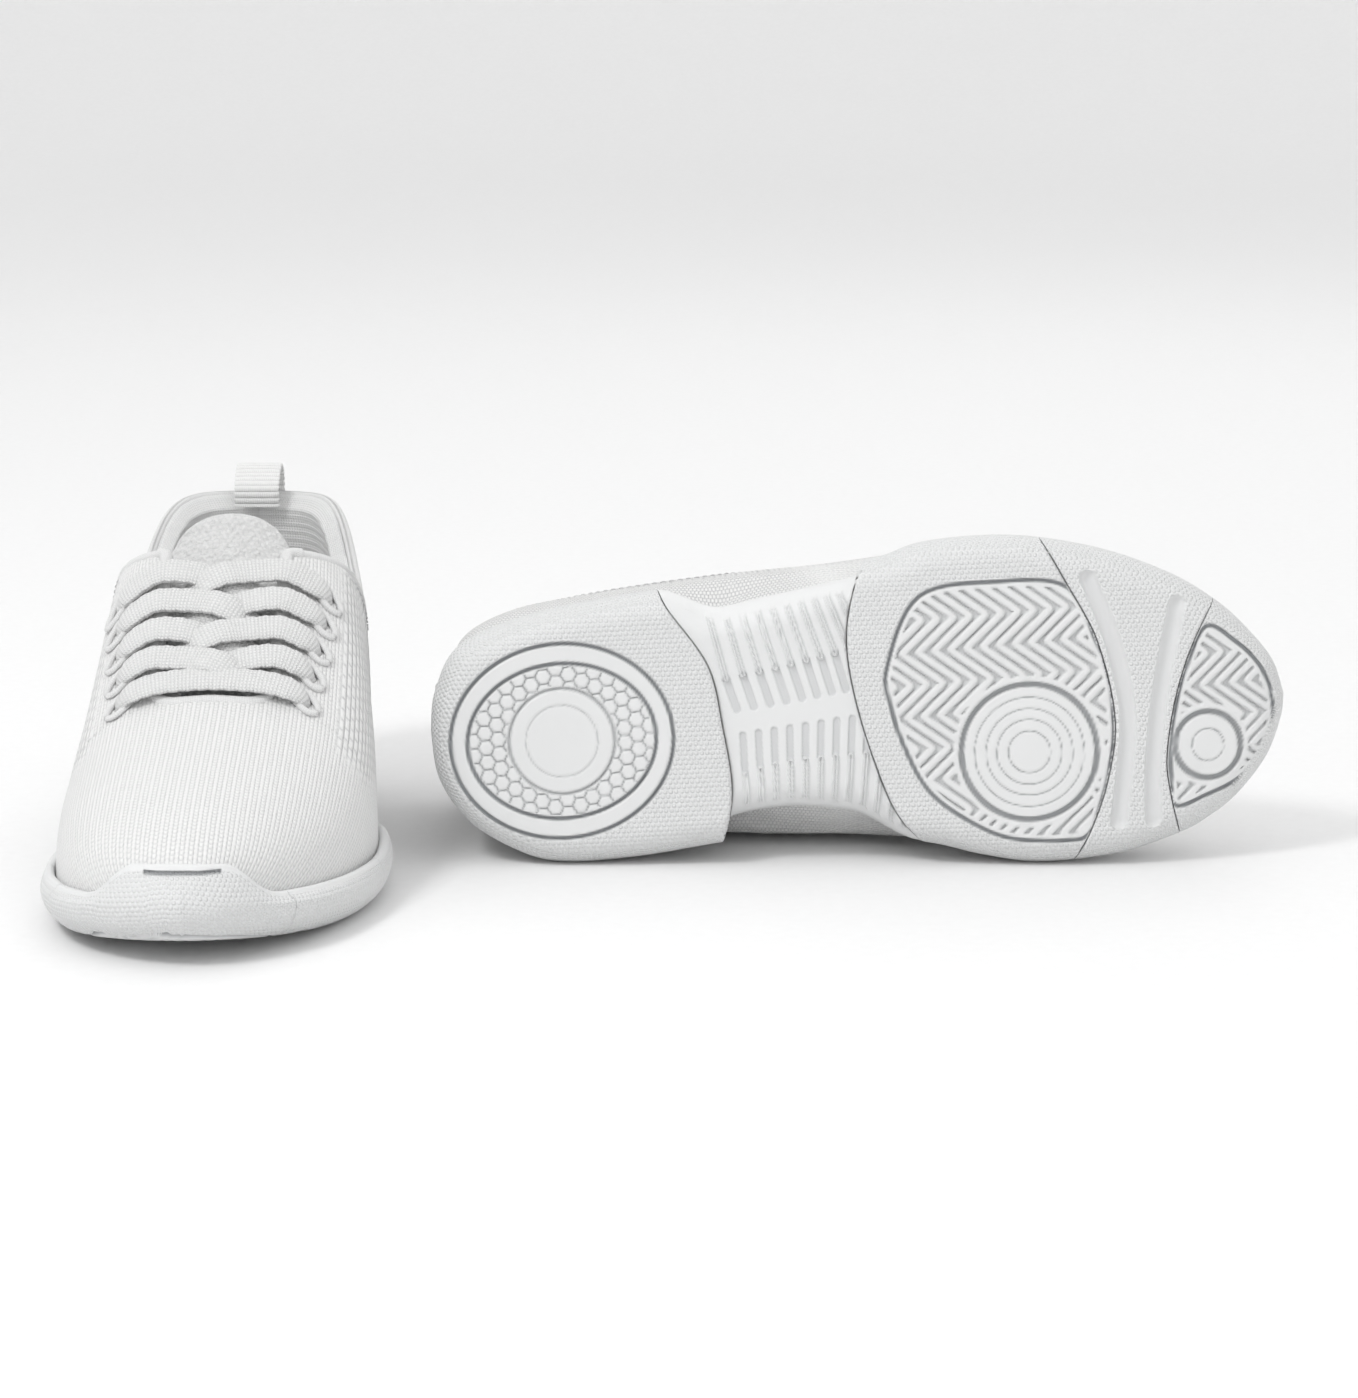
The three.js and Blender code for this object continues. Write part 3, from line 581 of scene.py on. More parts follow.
def make_materials():
    look = Look("rubber", 0.5, specular=0.4, subsurface=0.05)
    x, y = look.uv()
    grain = look.number("grain")
    deep = look.number("deep")
    haze = look.noise(60)
    fine = look.noise(2600, 2)
    grains = dots(x, y, 1.45) * grain
    # The deep number is painted shade: grooves, rings, cell borders, channels and slits are coloured darker
    # grey where shade falls; haze is a random tone.
    look.colour((0.75, 0.755, 0.755), (0.27, 0.28, 0.29), deep.most(haze * 0.06))
    look.roughen(haze, 0.44, 0.58)
    look.bump(grains * 0.9 + fine * 0.06, 0.32)

    look = Look("shank", 0.42, specular=0.45, subsurface=0.05)
    deep = look.number("deep")
    haze = look.noise(60)
    fine = look.noise(3000, 2)
    # The deep number is painted shade: the dents beside the arch ribs and the ribs' sloping sides are
    # coloured darker.
    look.colour((0.76, 0.765, 0.765), (0.42, 0.43, 0.44), deep.most(haze * 0.08))
    look.roughen(haze, 0.36, 0.5)
    look.bump(fine, 0.03)

    look = Look("knit", 0.86, sheen=0.25, specular=0.25)
    x, y = look.uv()
    rear = look.number("rear")
    coarse = look.number("coarse")
    around = look.number("around")
    up = look.number("up")
    pit = look.number("pit")
    toe_knit = stitches(x, y, 1.15, 1.3) * 0.5 + bricks(y, x, 1.3, 1.15) * 0.5
    rear_fine = bricks(around, up, 1.05, 1.2)
    rear_coarse = bricks(around, up, 3.0, 2.1) * 0.85 + bricks(around, up, 0.75, 0.55) * 0.15
    side_coarse = bricks(y, x, 3.4, 1.9) * 0.8 + stitches(x, y, 0.95, 1.2) * 0.2
    vamp = toe_knit * coarse.flipped() + side_coarse * coarse
    quarter = rear_fine * coarse.flipped() + rear_coarse * coarse
    knit = vamp * rear.flipped() + quarter * rear
    fuzz = look.noise(1400, 3)
    # The colour is painted shade: darker in the hollows between stitches and dark in the pits round the
    # eyelets.
    tone = (knit * 0.75 + fuzz * 0.3) * (pit * -0.85 + 1)
    look.colour(SHADE, RIBBON, tone.ramp(0.0, 0.75))
    look.bump(knit * (coarse * 0.5 + 0.5) + fuzz * 0.2, 0.62)
    look.roughen(fuzz, 0.8, 0.92)

    for name, wale, course, height in (("ribbed", 0.9, 0.8, 0.2), ("cord", 0.55, 0.6, 0.14),
                                       ("lace", 0.95, 1.0, 0.36)):
        look = Look(name, 0.85, sheen=0.25, specular=0.25)
        x, y = look.uv()
        cloth = stitches(x, y, wale, course)
        fuzz = look.noise(1500, 3)
        deep = look.number("deep")
        # Painted shade: darker between the stitches, and darker where the deep number is set, between the
        # lining's ribs.
        look.colour(SHADE, CLOTH, (cloth * 0.5 + fuzz * 0.35 + 0.25) * (deep * -0.5 + 1))
        look.bump(cloth + fuzz * 0.25, height)
        look.roughen(fuzz, 0.78, 0.9)

    look = Look("boucle", 0.9, sheen=0.3, specular=0.2)
    x, y = look.uv()
    mesh_zone = look.number("mesh")
    loops = look.noise(900, 4, 0.7)
    fuzz = look.noise(2500, 2)
    knots = bricks(x, y, 1.5, 1.3)
    holes = dots(x, y, 2.1)
    pile = loops.ramp(0.35, 0.7) * 0.6 + knots * 0.4
    surface = pile * mesh_zone.flipped() + holes.flipped() * mesh_zone
    # Painted shade: darker between the loops and dark in the mesh's holes, where only shade is seen through.
    look.colour((0.56, 0.565, 0.57), CLOTH,
                (surface * 0.8 + fuzz * 0.3).ramp(0.0, 0.7).most(mesh_zone * -1 + 0.62))
    look.bump(surface + fuzz * 0.15, 0.45)

    look = Look("grosgrain", 0.55, sheen=0.15, specular=0.4)
    x, y = look.uv()
    rib = y * (1 / RIB_PITCH)
    ridge = rib.wave().power(0.5)
    threads = ((x + rib.floor() * 0.31) * (1 / 0.62)).wave()
    fuzz = look.noise(2200, 2)
    # Painted shade: darker between the cross ribs.
    look.colour(SHADE, RIBBON, (ridge * 0.8 + threads * 0.12 + fuzz * 0.15).ramp(0.05, 0.7))
    look.bump(ridge * 0.6 + ridge * threads * 0.4, 0.28)
    look.roughen(fuzz, 0.48, 0.62)

    look = Look("thread", 0.7, specular=0.3)
    x, y = look.uv()
    twist = ((x + y) * (1 / 0.35)).wave()
    # Painted shade: darker between the twisted strands.
    look.colour((0.55, 0.555, 0.56), (0.8, 0.8, 0.8), twist)
    look.bump(twist, 0.05)

    for name, dark, light, scale, height in (("foam", (0.8, 0.8, 0.78), (0.88, 0.88, 0.86), 900, 0.12),
                                             ("board", (0.75, 0.75, 0.74), (0.82, 0.82, 0.81), 500, 0.15)):
        look = Look(name, 0.8, specular=0.25)
        cells = look.noise(scale, 3)
        look.colour(dark, light, cells)
        look.roughen(cells, 0.72, 0.88)
        look.bump(cells, height)


make_materials()


# ------------------------------------------------------------------ outsole
CELL = 0.42                     # spacing of the underside's grid
RIM = 3.0                       # inset where the underside's grid ends and the wall begins
ROUND_A, ROUND_B = 8.0, 9.0     # half-axes of the sole's rounded edge
RISERS = 34                     # rings up the wall
CAP_STATIONS = (13.0, 216.0)    # where the heel's and the toe's cap begin
HEEL_SLIT_HEIGHT = 26.6
TOE_SLIT_HEIGHT = 23.6
BALL_DISC = (159.8, -11.6)
TOE_DISC = (207.8, -12.0)
HEEL_RING = (35.4, -3.4)
BALL_FIELD = [[122.7, 12.4], [131.9, 31.1], [153.3, 34.2], [171.2, 32.0], [178.6, 17.4], [181.7, 6.4],
              [182.6, -5.2], [181.2, -16.6], [178.6, -25.8], [174.8, -34.4], [168.1, -35.8], [153.3, -34.4],
              [141.8, -28.7], [132.6, -20.9], [127.0, -10.0], [123.4, 1.6]]
TOE_FIELD = [[208.2, 19.6], [216.2, 15.2], [222.2, 9.0], [225.4, 1.8], [225.8, -6.6], [222.9, -14.7],
             [216.2, -21.4], [207.1, -25.4], [198.4, -27.9], [197.6, -20], [197.8, -11], [199.4, -1.5],
             [202.2, 8]]
LATERAL_RIBS = 10
MEDIAL_RIBS = 13
CHANNEL_RADIUS = 2.3
FLEX_CHANNELS = [[[177, 34], [183, 17], [186.4, -2], [185, -18], [183, -31]],
                 [[200.6, 26], [196.4, 8], [194, -6], [192.6, -19], [192.4, -31]]]


def closed_curve(points):
    per = 8
    ring = spline(np.vstack([points[-2:], points, points[:2]]), (len(points) + 3) * per + 1)
    return ring[2 * per:-per - 1]


LINES = {name: spline(line, 91) for name, line in
         (("heel", HEEL_LINE), ("ball", BALL_LINE), ("flex", FLEX_LINE), ("toe", TOE_LINE))}


def outline(half):
    at = LENGTH * eased(500)
    lateral = np.stack([at, half(1, at)], 1)
    medial = np.stack([at, -half(-1, at)], 1)
    return np.vstack([lateral, medial[::-1][1:-1]])


OUTLINES = {pod_half: outline(pod_half), sole_half: outline(sole_half)}


def ring_side(half, side, inset, u):
    at = np.clip((u - inset) / (LENGTH - 2 * inset) * LENGTH, 0, LENGTH)
    return side * inward(half(side, at), inset)


def ring_path(half, side, inset, u0, u1, count=600):
    """The outline moved inward by inset, along one side between two stations."""
    a, b = sorted((u0, u1))
    at = a + (b - a) * eased(count)
    path = np.stack([at, ring_side(half, side, inset, at)], 1)
    return path if u0 <= u1 else path[::-1]


def crossing(line, half, side, inset):
    """Where a parting line, drawn from lateral to medial, meets the outline moved inward."""
    gap = side * (line[:, 1] - ring_side(half, side, inset, line[:, 0]))
    order = range(len(line) - 1) if side > 0 else range(len(line) - 2, -1, -1)
    for i in order:
        if (gap[i] > 0) != (gap[i + 1] > 0):
            t = gap[i] / (gap[i] - gap[i + 1])
            return line[i] + t * (line[i + 1] - line[i])
    raise ValueError("the parting line misses the outline")


def trimmed(line, half, inset):
    lateral, medial = crossing(line, half, 1, inset), crossing(line, half, -1, inset)
    inside = (line[:, 1] < lateral[1]) & (line[:, 1] > medial[1])
    return np.vstack([medial, line[inside][::-1], lateral])


def groove(distance, half_width, soft=0.22):
    """1 within half_width of a line and 0 outside, with a soft edge."""
    return fall(distance, half_width - soft, half_width + soft)


def herringbone(u, v, period, anchor):
    """1 in the grooves of a zigzag tread: sharp inner corners, rounded outer ones."""
    turn = 0.049                # radians between the bars' axis and the shoe's
    reach, rise = 8.6, 10.6     # half a zigzag across, and how far it goes forward
    width, rounding = 1.45, 0.85
    c, s = math.cos(turn), math.sin(turn)
    x, y = u - anchor[0], v - anchor[1]
    p, q = x * c + y * s, x * s - y * c
    slope = rise / reach
    near = np.abs((q + reach) % (2 * reach) - reach)     # from the nearest forward tip
    far = reach - near
    zig = -slope * near
    front = -slope * np.sqrt(near ** 2 + rounding ** 2)
    rear = slope * (np.sqrt(far ** 2 + rounding ** 2) - reach)
    k = np.round((p - zig) / period)
    across = math.cos(math.atan(slope))
    a = (p - (np.minimum(front, zig) + k * period - width / 2)) * across
    b = ((np.maximum(rear, zig) + k * period + width / 2) - p) * across
    return smooth(np.minimum(a, b), -0.05, 0.3)


def ellipse_distance(x, y, a, b):
    k = np.hypot(x / a, y / b)
    return np.hypot(x, y) * (1 - 1 / np.maximum(k, 1e-6))


def honeycomb(x, y, pitch):
    """Distance to the nearest border of a honeycomb of that flat-to-flat size."""
    x, y = x / pitch, y / pitch
    r = math.sqrt(3)
    ax, ay = x % r - r / 2, y % 1 - 0.5
    bx, by = (x - r / 2) % r - r / 2, (y - 0.5) % 1 - 0.5
    nearer = ax ** 2 + ay ** 2 < bx ** 2 + by ** 2
    gx, gy = np.abs(np.where(nearer, ax, bx)), np.abs(np.where(nearer, ay, by))
    return (0.5 - np.maximum(gy, gy * 0.5 + gx * r / 2)) * pitch


def heel_pattern(u, v):
    """Depth, painted shade for the grooves, and grain of the heel: an oval ring of six-sided cells round a
    plain disc.
    """
    x, y = u - HEEL_RING[0], v - HEEL_RING[1]
    c, s = math.cos(-0.05), math.sin(-0.05)
    x, y = x * c - y * s, x * s + y * c
    outer = ellipse_distance(x, y, 29.8, 26.0)
    inner = ellipse_distance(x, y, 25.2, 20.7)
    r = np.hypot(x, y)
    rings = np.maximum(groove(np.abs(outer), 0.5), groove(np.abs(inner), 0.5))
    disc = groove(np.abs(r - 14.1), 0.4)
    cells = groove(honeycomb(x, y, 3.9), 0.22, 0.16) * smooth(r, 14.6, 15) * fall(inner, -1, -0.6)
    plain = groove(np.abs(r - 9.6), 0.2, 0.2)
    depth = np.maximum.reduce([1.1 * rings, 0.8 * disc, 0.6 * cells, 0.35 * plain])
    groove_shade = np.maximum.reduce([rings, 0.55 * disc, 0.6 * cells, 0.4 * plain])
    return depth, groove_shade, smooth(outer, 0.5, 1.0)


def field_pattern(u, v, field, disc, rings, period, anchor):
    """Depth, painted shade for the grooves, and grain of a herringbone field with a pivot disc; rings holds
    the disc's radii.
    """
    inside = signed_distance(np.stack([u, v], 1), closed_curve(field))
    r = np.hypot(u - disc[0], v - disc[1])
    border = groove(np.abs(inside), 0.52)
    radius = rings[0] + 2.1
    pivot = groove(np.abs(r - rings[0]), 0.7)
    lines = np.max([groove(np.abs(r - size), 0.17, 0.18) for size in rings[1:]], axis=0)
    tread = herringbone(u, v, period, anchor) * smooth(-inside, 1.45, 1.8) * smooth(r, radius, radius + 0.35)
    depth = np.maximum.reduce([1.05 * border, 1.15 * pivot, 0.4 * lines, 1.0 * tread])
    groove_shade = np.maximum.reduce([border, 0.85 * pivot, 0.7 * lines, 0.38 * tread])
    return depth, groove_shade, smooth(inside, 0.5, 1.0)


def ball_pattern(u, v):
    return field_pattern(u, v, BALL_FIELD, BALL_DISC, (18.1, 14.65, 11.6, 8.7, 5.6), 4.3, (161.3, 9.0))


def toe_pattern(u, v):
    return field_pattern(u, v, TOE_FIELD, TOE_DISC, (8.9, 4.3), 4.1, (214.5, 12.9))


def flex_pattern(u, v):
    points = np.stack([u, v], 1)
    d = np.min([line_distance(points, spline(line, 40)) for line in FLEX_CHANNELS], axis=0)
    bowl = np.sqrt(np.clip(1 - (d / CHANNEL_RADIUS) ** 2, 0, 1))
    # The second value is painted shade in the channels.
    return 1.7 * bowl, 0.12 * bowl, smooth(d, 2.2, 2.9)


def arch_pattern(u, v):
    """Two groups of slanted ribs, each rib with a groove along its crest and a shallow dent after it."""
    points = np.stack([u, v], 1)
    height = np.zeros(len(u))
    shallow = np.zeros(len(u))

    def along(start, end):
        return line_distance(points, np.array([start, end], float))

    def rib(start, end):
        d = along(start, end)
        return np.maximum(height, 0.75 * fall(d, 0.5, 0.95) - 0.4 * fall(d, 0.05, 0.35))

    for k in range(LATERAL_RIBS):
        top = 75.2 + 4.5 * k - 0.062 * k * k
        end = (top + 4.6 + 0.12 * k, 11.2 + 0.8 * k)
        height = rib((top - 1.2, 36), end)
        low = (end[0] + 2.6, 2.8 + 0.6 * k)
        shallow = np.maximum(shallow, fall(along(end, low), 0.9, 1.2) * (1 - height))
    for k in range(MEDIAL_RIBS):
        lean = 0.8 - 0.48 * k
        start = (83.9 + 4.06 * k, -14.7 + 4.2 * (1 - math.exp(-k / 2.5)))
        height = rib(start, (start[0] + lean, -38))
        high = (start[0] - lean * 0.3, -4.1 + 0.47 * k)
        shallow = np.maximum(shallow, fall(along(high, start), 0.8, 1.05) * (1 - height))
    # The second value returned is painted shade: darker in the shallow dents and on the ribs' sloping sides.
    edges = np.clip(1 - np.abs(height - 0.35) / 0.35, 0, 1)
    return 0.5 * shallow - 1.25 * height, np.maximum(0.42 * shallow, 0.3 * edges), np.zeros(len(u))


def edge_rise(distance, a=ROUND_A, b=ROUND_B):
    """Rise of a rounded edge with half-axes a and b at a distance from it."""
    t = np.clip(1 - distance / a, 0, 1)
    return b * (1 - np.sqrt(1 - t ** 2))


def wall_top(u, v):
    """Height of the cup's wall, raised into a bumper at the heel and at the toe."""
    side = mix(18.5, 12.5, smooth(u, 45, 85)) + ground(u) * 0.6
    heel = 11 * smooth(-u, -12, -1) * fall(np.abs(v), 9, 27)
    toe = 8 * smooth(u, 212, 226) * fall(np.abs(v), 14, 30)
    return side + heel + toe


def upper_distance(points, heights):
    """How far inside each plan point the upper's face lies at that point's height."""
    levels = np.arange(11.0, 31.0, 2.0)
    outer = mix(UPPER_START, UPPER_END, eased(260))
    away = []
    for w in levels:
        met = outer[crest(outer) > w + 0.2]
        loop = np.vstack([section(side, met, np.full(len(met), w))[::side, :2] for side in (1, -1)])
        away.append(line_distance(points, loop))
    away = np.array(away)
    level = np.clip((heights - levels[0]) / 2, 0, len(levels) - 1.001)
    i = level.astype(int)
    column = np.arange(len(points))
    return mix(away[i, column], away[i + 1, column], level - i)


def coons(rear, front, medial, lateral):
    """Grid between four curves: rear and front run medial to lateral, the others rear to front."""
    n, m = len(medial), len(rear)
    s = np.linspace(0, 1, n)[:, None, None]
    t = np.linspace(0, 1, m)[None, :, None]
    corners = mix(mix(rear[0], rear[-1], t), mix(front[0], front[-1], t), s)
    return mix(rear, front, s) + mix(medial[:, None], lateral[:, None], t) - corners


def cup_floor(points, lift):
    """The given plan points at the height of the cup's inner floor."""
    height = ground(points[..., :1]) + FLOOR + 0.2 * lift
    return np.concatenate([points[..., :2], height], -1)


class SolePiece:
    """One rubber piece of the cup, between two parting lines or round an end of the sole."""

    def __init__(self, half, rear_name, front_name, pattern, lift, edge):
        self.half, self.pattern, self.lift, self.edge = half, pattern, lift, edge
        self.rim = np.vstack([OUTLINES[half], OUTLINES[half][:1]])
        self.lines = (LINES[rear_name] + [GAP / 2, 0] if rear_name else None,
                      LINES[front_name] - [GAP / 2, 0] if front_name else None)
        self.shape = Shape("grain", "deep")
        grid = self.underside()
        self.close(grid, [self.wall(sides, first) for sides, first in self.starts(grid)])

    def side_path(self, side, inset, open_ends):
        """One side of the outline between the parting lines; open_ends serve where there is no line."""
        ends = [crossing(line, self.half, side, inset)[0] if line is not None else end
                for line, end in zip(self.lines, open_ends)]
        return ring_path(self.half, side, inset, *ends)

    def plan_grid(self, inset, spacing):
        """Grid of points over the piece's outline at that inset."""
        sides = [self.side_path(side, inset, CAP_STATIONS) for side in (-1, 1)]
        caps = []
        for line, cap, tip in zip(self.lines, CAP_STATIONS, (inset, LENGTH - inset)):
            if line is not None:
                caps.append(trimmed(line, self.half, inset))
            else:
                caps.append(np.vstack([ring_path(self.half, -1, inset, cap, tip),
                                       ring_path(self.half, 1, inset, tip, cap)[1:]]))
        n, m = (int(max(lengths(c)[-1] for c in pair) / spacing) + 2 for pair in (sides, caps))
        return coons(*(resample(cap, m) for cap in caps), *(resample(side, n) for side in sides))

    def edge_height(self, p):
        return ground(p[:, 0]) + self.lift + edge_rise(line_distance(p, self.rim))

    def underside(self):
        """The tread, with rounded edges at the parting lines."""
        plan = self.plan_grid(RIM, CELL)
        flat = plan.reshape(-1, 2)
        depth, groove_shade, grain = self.pattern(*flat.T)
        bottom = self.edge_height(flat)
        for line in self.lines:
            if line is not None:
                near = line_distance(flat, line)
                bottom = bottom + edge_rise(near, self.edge, self.edge)
                depth = depth * smooth(near, 0.0, 0.6)
        size = plan.shape[:2]
        grid = np.dstack([plan, (bottom + depth).reshape(size)])
        # deep carries painted shade: the tread's grooves are coloured darker.
        self.shape.grid(grid, plan, grain=grain.reshape(size), deep=groove_shade.reshape(size))
        return grid

    def starts(self, grid):
        """Each wall's sides, reversed or not, and the row of the underside that it starts from."""
        medial, lateral = grid[:, 0], grid[:, -1]
        if self.lines[0] is None:
            return [([(-1, True), (1, False)], np.vstack([medial[::-1], grid[0, 1:-1], lateral]))]
        if self.lines[1] is None:
            return [([(1, False), (-1, True)], np.vstack([lateral, grid[-1, ::-1][1:-1], medial[::-1]]))]
        return [([(1, False)], lateral), ([(-1, False)], medial)]

    def wall(self, sides, first):
        """Rings from the underside's edge, out and up, over the lip against the upper, and down inside."""
        def station(inset, count):
            parts = [self.side_path(side, inset, (inset, LENGTH - inset)) for side, _ in sides]
            turned = [part[::-1] if reverse else part for part, (_, reverse) in zip(parts, sides)]
            return resample(np.vstack(turned), count)

        count = len(first)
        run = lengths(first[:, :2])
        share = run / run[-1]

        def matched(inset):
            return points_at(share, np.linspace(0, 1, count), station(inset, count))

        outer, inner = matched(0.0), matched(WALL)
        toward = unit(inner - outer)
        top = wall_top(*outer.T)
        contact = np.clip(upper_distance(outer, top), 3.3, 9.5)
        shoulder = np.maximum(0.9, contact - 2.8)
        rings, grains, slit_shades = [first], [1.0], [np.zeros(count)]

        def ring(points, height, grain=0.0, slit=0.0):
            row = np.column_stack([points, height])
            # The slits' depth is also painted shade: through the deep number it darkens the rubber inside
            # them.
            hollow = slit * slit_depth(row)
            rings.append(row + slit_push(row, hollow))
            grains.append(grain)
            slit_shades.append(hollow)

        for inset in (2.3, 1.7, 1.1, 0.6, 0.25, 0.05):
            points = matched(inset)
            ring(points, self.edge_height(points), grain=1.0)
        for k in np.arange(1, RISERS + 1) / RISERS:
            points = outer + toward * (0.05 + shoulder * k ** 1.5)[:, None]
            height = mix(ground(points[:, 0]) + self.lift + ROUND_B, top - 0.3, k)
            ring(points, height, grain=float(fall(k, 0.9, 0.97)), slit=0.9)
        for k in (0.1, 0.3, 0.55, 0.8, 1.0):
            points = outer + toward * mix(shoulder, contact, k)[:, None]
            ring(points, top - 0.3 + 0.9 * math.sqrt(1 - (2 * k - 1) ** 2))
        ring(inner, cup_floor(inner, self.lift)[:, 2])
        strip = np.array(rings)
        climb = np.vstack([np.zeros(count), np.cumsum(np.linalg.norm(np.diff(strip, axis=0), axis=2), 0)])
        uv = pairs(share * lengths(station(0, 400))[-1], climb)
        self.shape.grid(strip, uv, grain=np.array(grains)[:, None], deep=np.array(slit_shades))
        return strip

    def close(self, grid, walls):
        """The cup's floor, curtains at the parting lines, and the end faces of the walls."""
        inside = self.plan_grid(WALL, 2.5)
        self.shape.grid(cup_floor(inside, self.lift), inside)
        columns = [column for wall in walls for column in (wall[:, 0], wall[:, -1])]
        for line, row in zip(self.lines, (grid[0], grid[-1])):
            if line is None:
                continue
            top = cup_floor(row, self.lift)
            self.shape.grid(mix(row[None], top[None], np.linspace(0, 1, 6)[:, None, None]))
            for column in columns:
                for corner in (top[0], top[-1]):
                    if np.linalg.norm(corner[:2] - column[0][:2]) < 1e-6:
                        hub = (column[0] + corner) / 2
                        self.shape.grid(np.stack([column, mix(column, hub, 0.5),
                                                  np.tile(hub, (len(column), 1))]))


def slit_depth(row):
    """How far the two narrow slits, in the heel and toe bumpers, are cut into the wall."""
    u, v, w = row.T
    at_heel = (u < 20) * fall(np.abs(v), 10.7, 11.1)
    at_toe = (u > 210) * fall(np.abs(v), 9.2, 9.6)
    return (at_heel * fall(np.abs(w - HEEL_SLIT_HEIGHT), 0.25, 0.7)
            + at_toe * fall(np.abs(w - TOE_SLIT_HEIGHT), 0.25, 0.7))


def slit_push(row, depth):
    """The slits go toward the middle of the shoe."""
    toward = np.where(row[:, 0] < LENGTH / 2, 1.0, -1.0)
    return np.stack([toward * depth, np.zeros_like(depth), np.zeros_like(depth)], 1)


def make_outsole():
    rubber, shank = ("rubber", "sole_rubber"), ("shank", "shank_rubber")
    parts = (("heel_pod", pod_half, None, "heel", heel_pattern, 0, 1.1, rubber, "shoe"),
             ("arch_shank", sole_half, "heel", "ball", arch_pattern, ARCH_LIFT, 0.3, shank, "shoe"),
             ("forefoot_pod", pod_half, "ball", "flex", ball_pattern, 0, 0.7, rubber, "shoe"),
             ("flex_band", pod_half, "flex", "toe", flex_pattern, 0, 0.4, rubber, None),
             ("toe_pod", pod_half, "toe", None, toe_pattern, 0, 0.4, rubber, "toe"))
    for name, half, rear, front, pattern, lift, edge, (look, slot), body in parts:
        shape = SolePiece(half, rear, front, pattern, lift, edge).shape
        name = "outsole_" + name
        add(shape, name, look, body=body, replaces=[name], blend=None if body else TOE_BEND, sharp=60)


make_outsole()


# ------------------------------------------------------------------ knit upper
SLOT_EDGE = 15.4                # half the slot between the knit's cut edges, under the binding
SLOT_FRONT = 150.6
SLOT_CORNER = 7.0
EDGE_INSET = 1.0                # the cord's middle, inside the knit's face
COLLAR_FRONT = 101.5            # where the collar's cord ends and the slot's begins
KNIT_INNER = 2.1                # the knit's inner face under its outer one
LINING_RIB = 2.2


def eyelet_u(row):
    return FIRST_EYELET - EYELET_PITCH * row


def eyelet_v(row):
    return 23.4 + 0.9 * row


def slot_half(u):
    """Half-width of the slot at u; its front corners are round."""
    straight = SLOT_EDGE + np.clip((SLOT_FRONT - SLOT_CORNER - u) / 84, 0, 1) * 1.5
    turn = np.clip(u - (SLOT_FRONT - SLOT_CORNER), 0, SLOT_CORNER)
    return straight - SLOT_CORNER + np.sqrt(SLOT_CORNER ** 2 - turn ** 2)


def edge_angle(side, outer, inset=0.0, drop=1.7):
    """Angle of the section at which the knit's upper edge lies."""
    base = foam_top(outer) + GAP
    top = crest(outer) - inset
    slope = (topline(outer + 1) - topline(outer - 1)) / 2
    w = np.minimum(top, topline(outer) - drop * np.hypot(1, slope))
    in_slot = (outer > 60) & (outer < SLOT_FRONT)     # the collar's own line is lower behind u = 60
    w_slot = face_height(outer, side * slot_half(np.minimum(outer, SLOT_FRONT)), inset)
    w = np.where(in_slot, np.minimum(w, w_slot), w)
    w = np.where(outer >= SLOT_FRONT, top, w)
    t = np.clip((w - base) / (top - base), 0, 1)
    return np.arcsin(np.clip(t ** (squareness(outer) / 2), 0, 1))


def plan_stations(side, count, end=UPPER_END):
    """Stations spaced evenly along the upper's plan outline, and their lengths along it."""
    u = mix(UPPER_START, end, eased(900))
    path = section(side, u, np.minimum(40, mix(foam_top(u) + 2, crest(u), 0.35)))[:, :2]
    s = lengths(path)
    at = np.linspace(0, s[-1], count)
    return np.interp(at, s, u), at


def upper_half_grid(side, columns, rows):
    """Grid of one half of the upper, the length from the crest at each point, and the stations."""
    stations, around = plan_stations(side, columns)
    points, across = [], []
    for outer in stations:
        limit = float(edge_angle(side, np.array(outer)))
        base = foam_top(outer) + GAP
        whole = np.linspace(0, PI / 2, 240)
        sin = np.sin(whole) ** (2 / squareness(outer))
        full = section(side, np.full(240, outer), base + (crest(outer) - base) * sin)
        s = lengths(full)
        end = float(np.interp(limit, whole, s))
        at = np.linspace(0, end, rows)
        points.append(points_at(at, s, full))
        across.append((s[-1] - at) * side)
    return np.array(points), np.array(across), stations, around


def outward_normals(p, middle):
    """Unit normals of a grid of points, facing away from a point inside it."""
    n = unit(np.cross(np.gradient(p, axis=0), np.gradient(p, axis=1)))
    return n * np.where(((p - middle) * n).sum(2, keepdims=True) < 0, -1, 1)


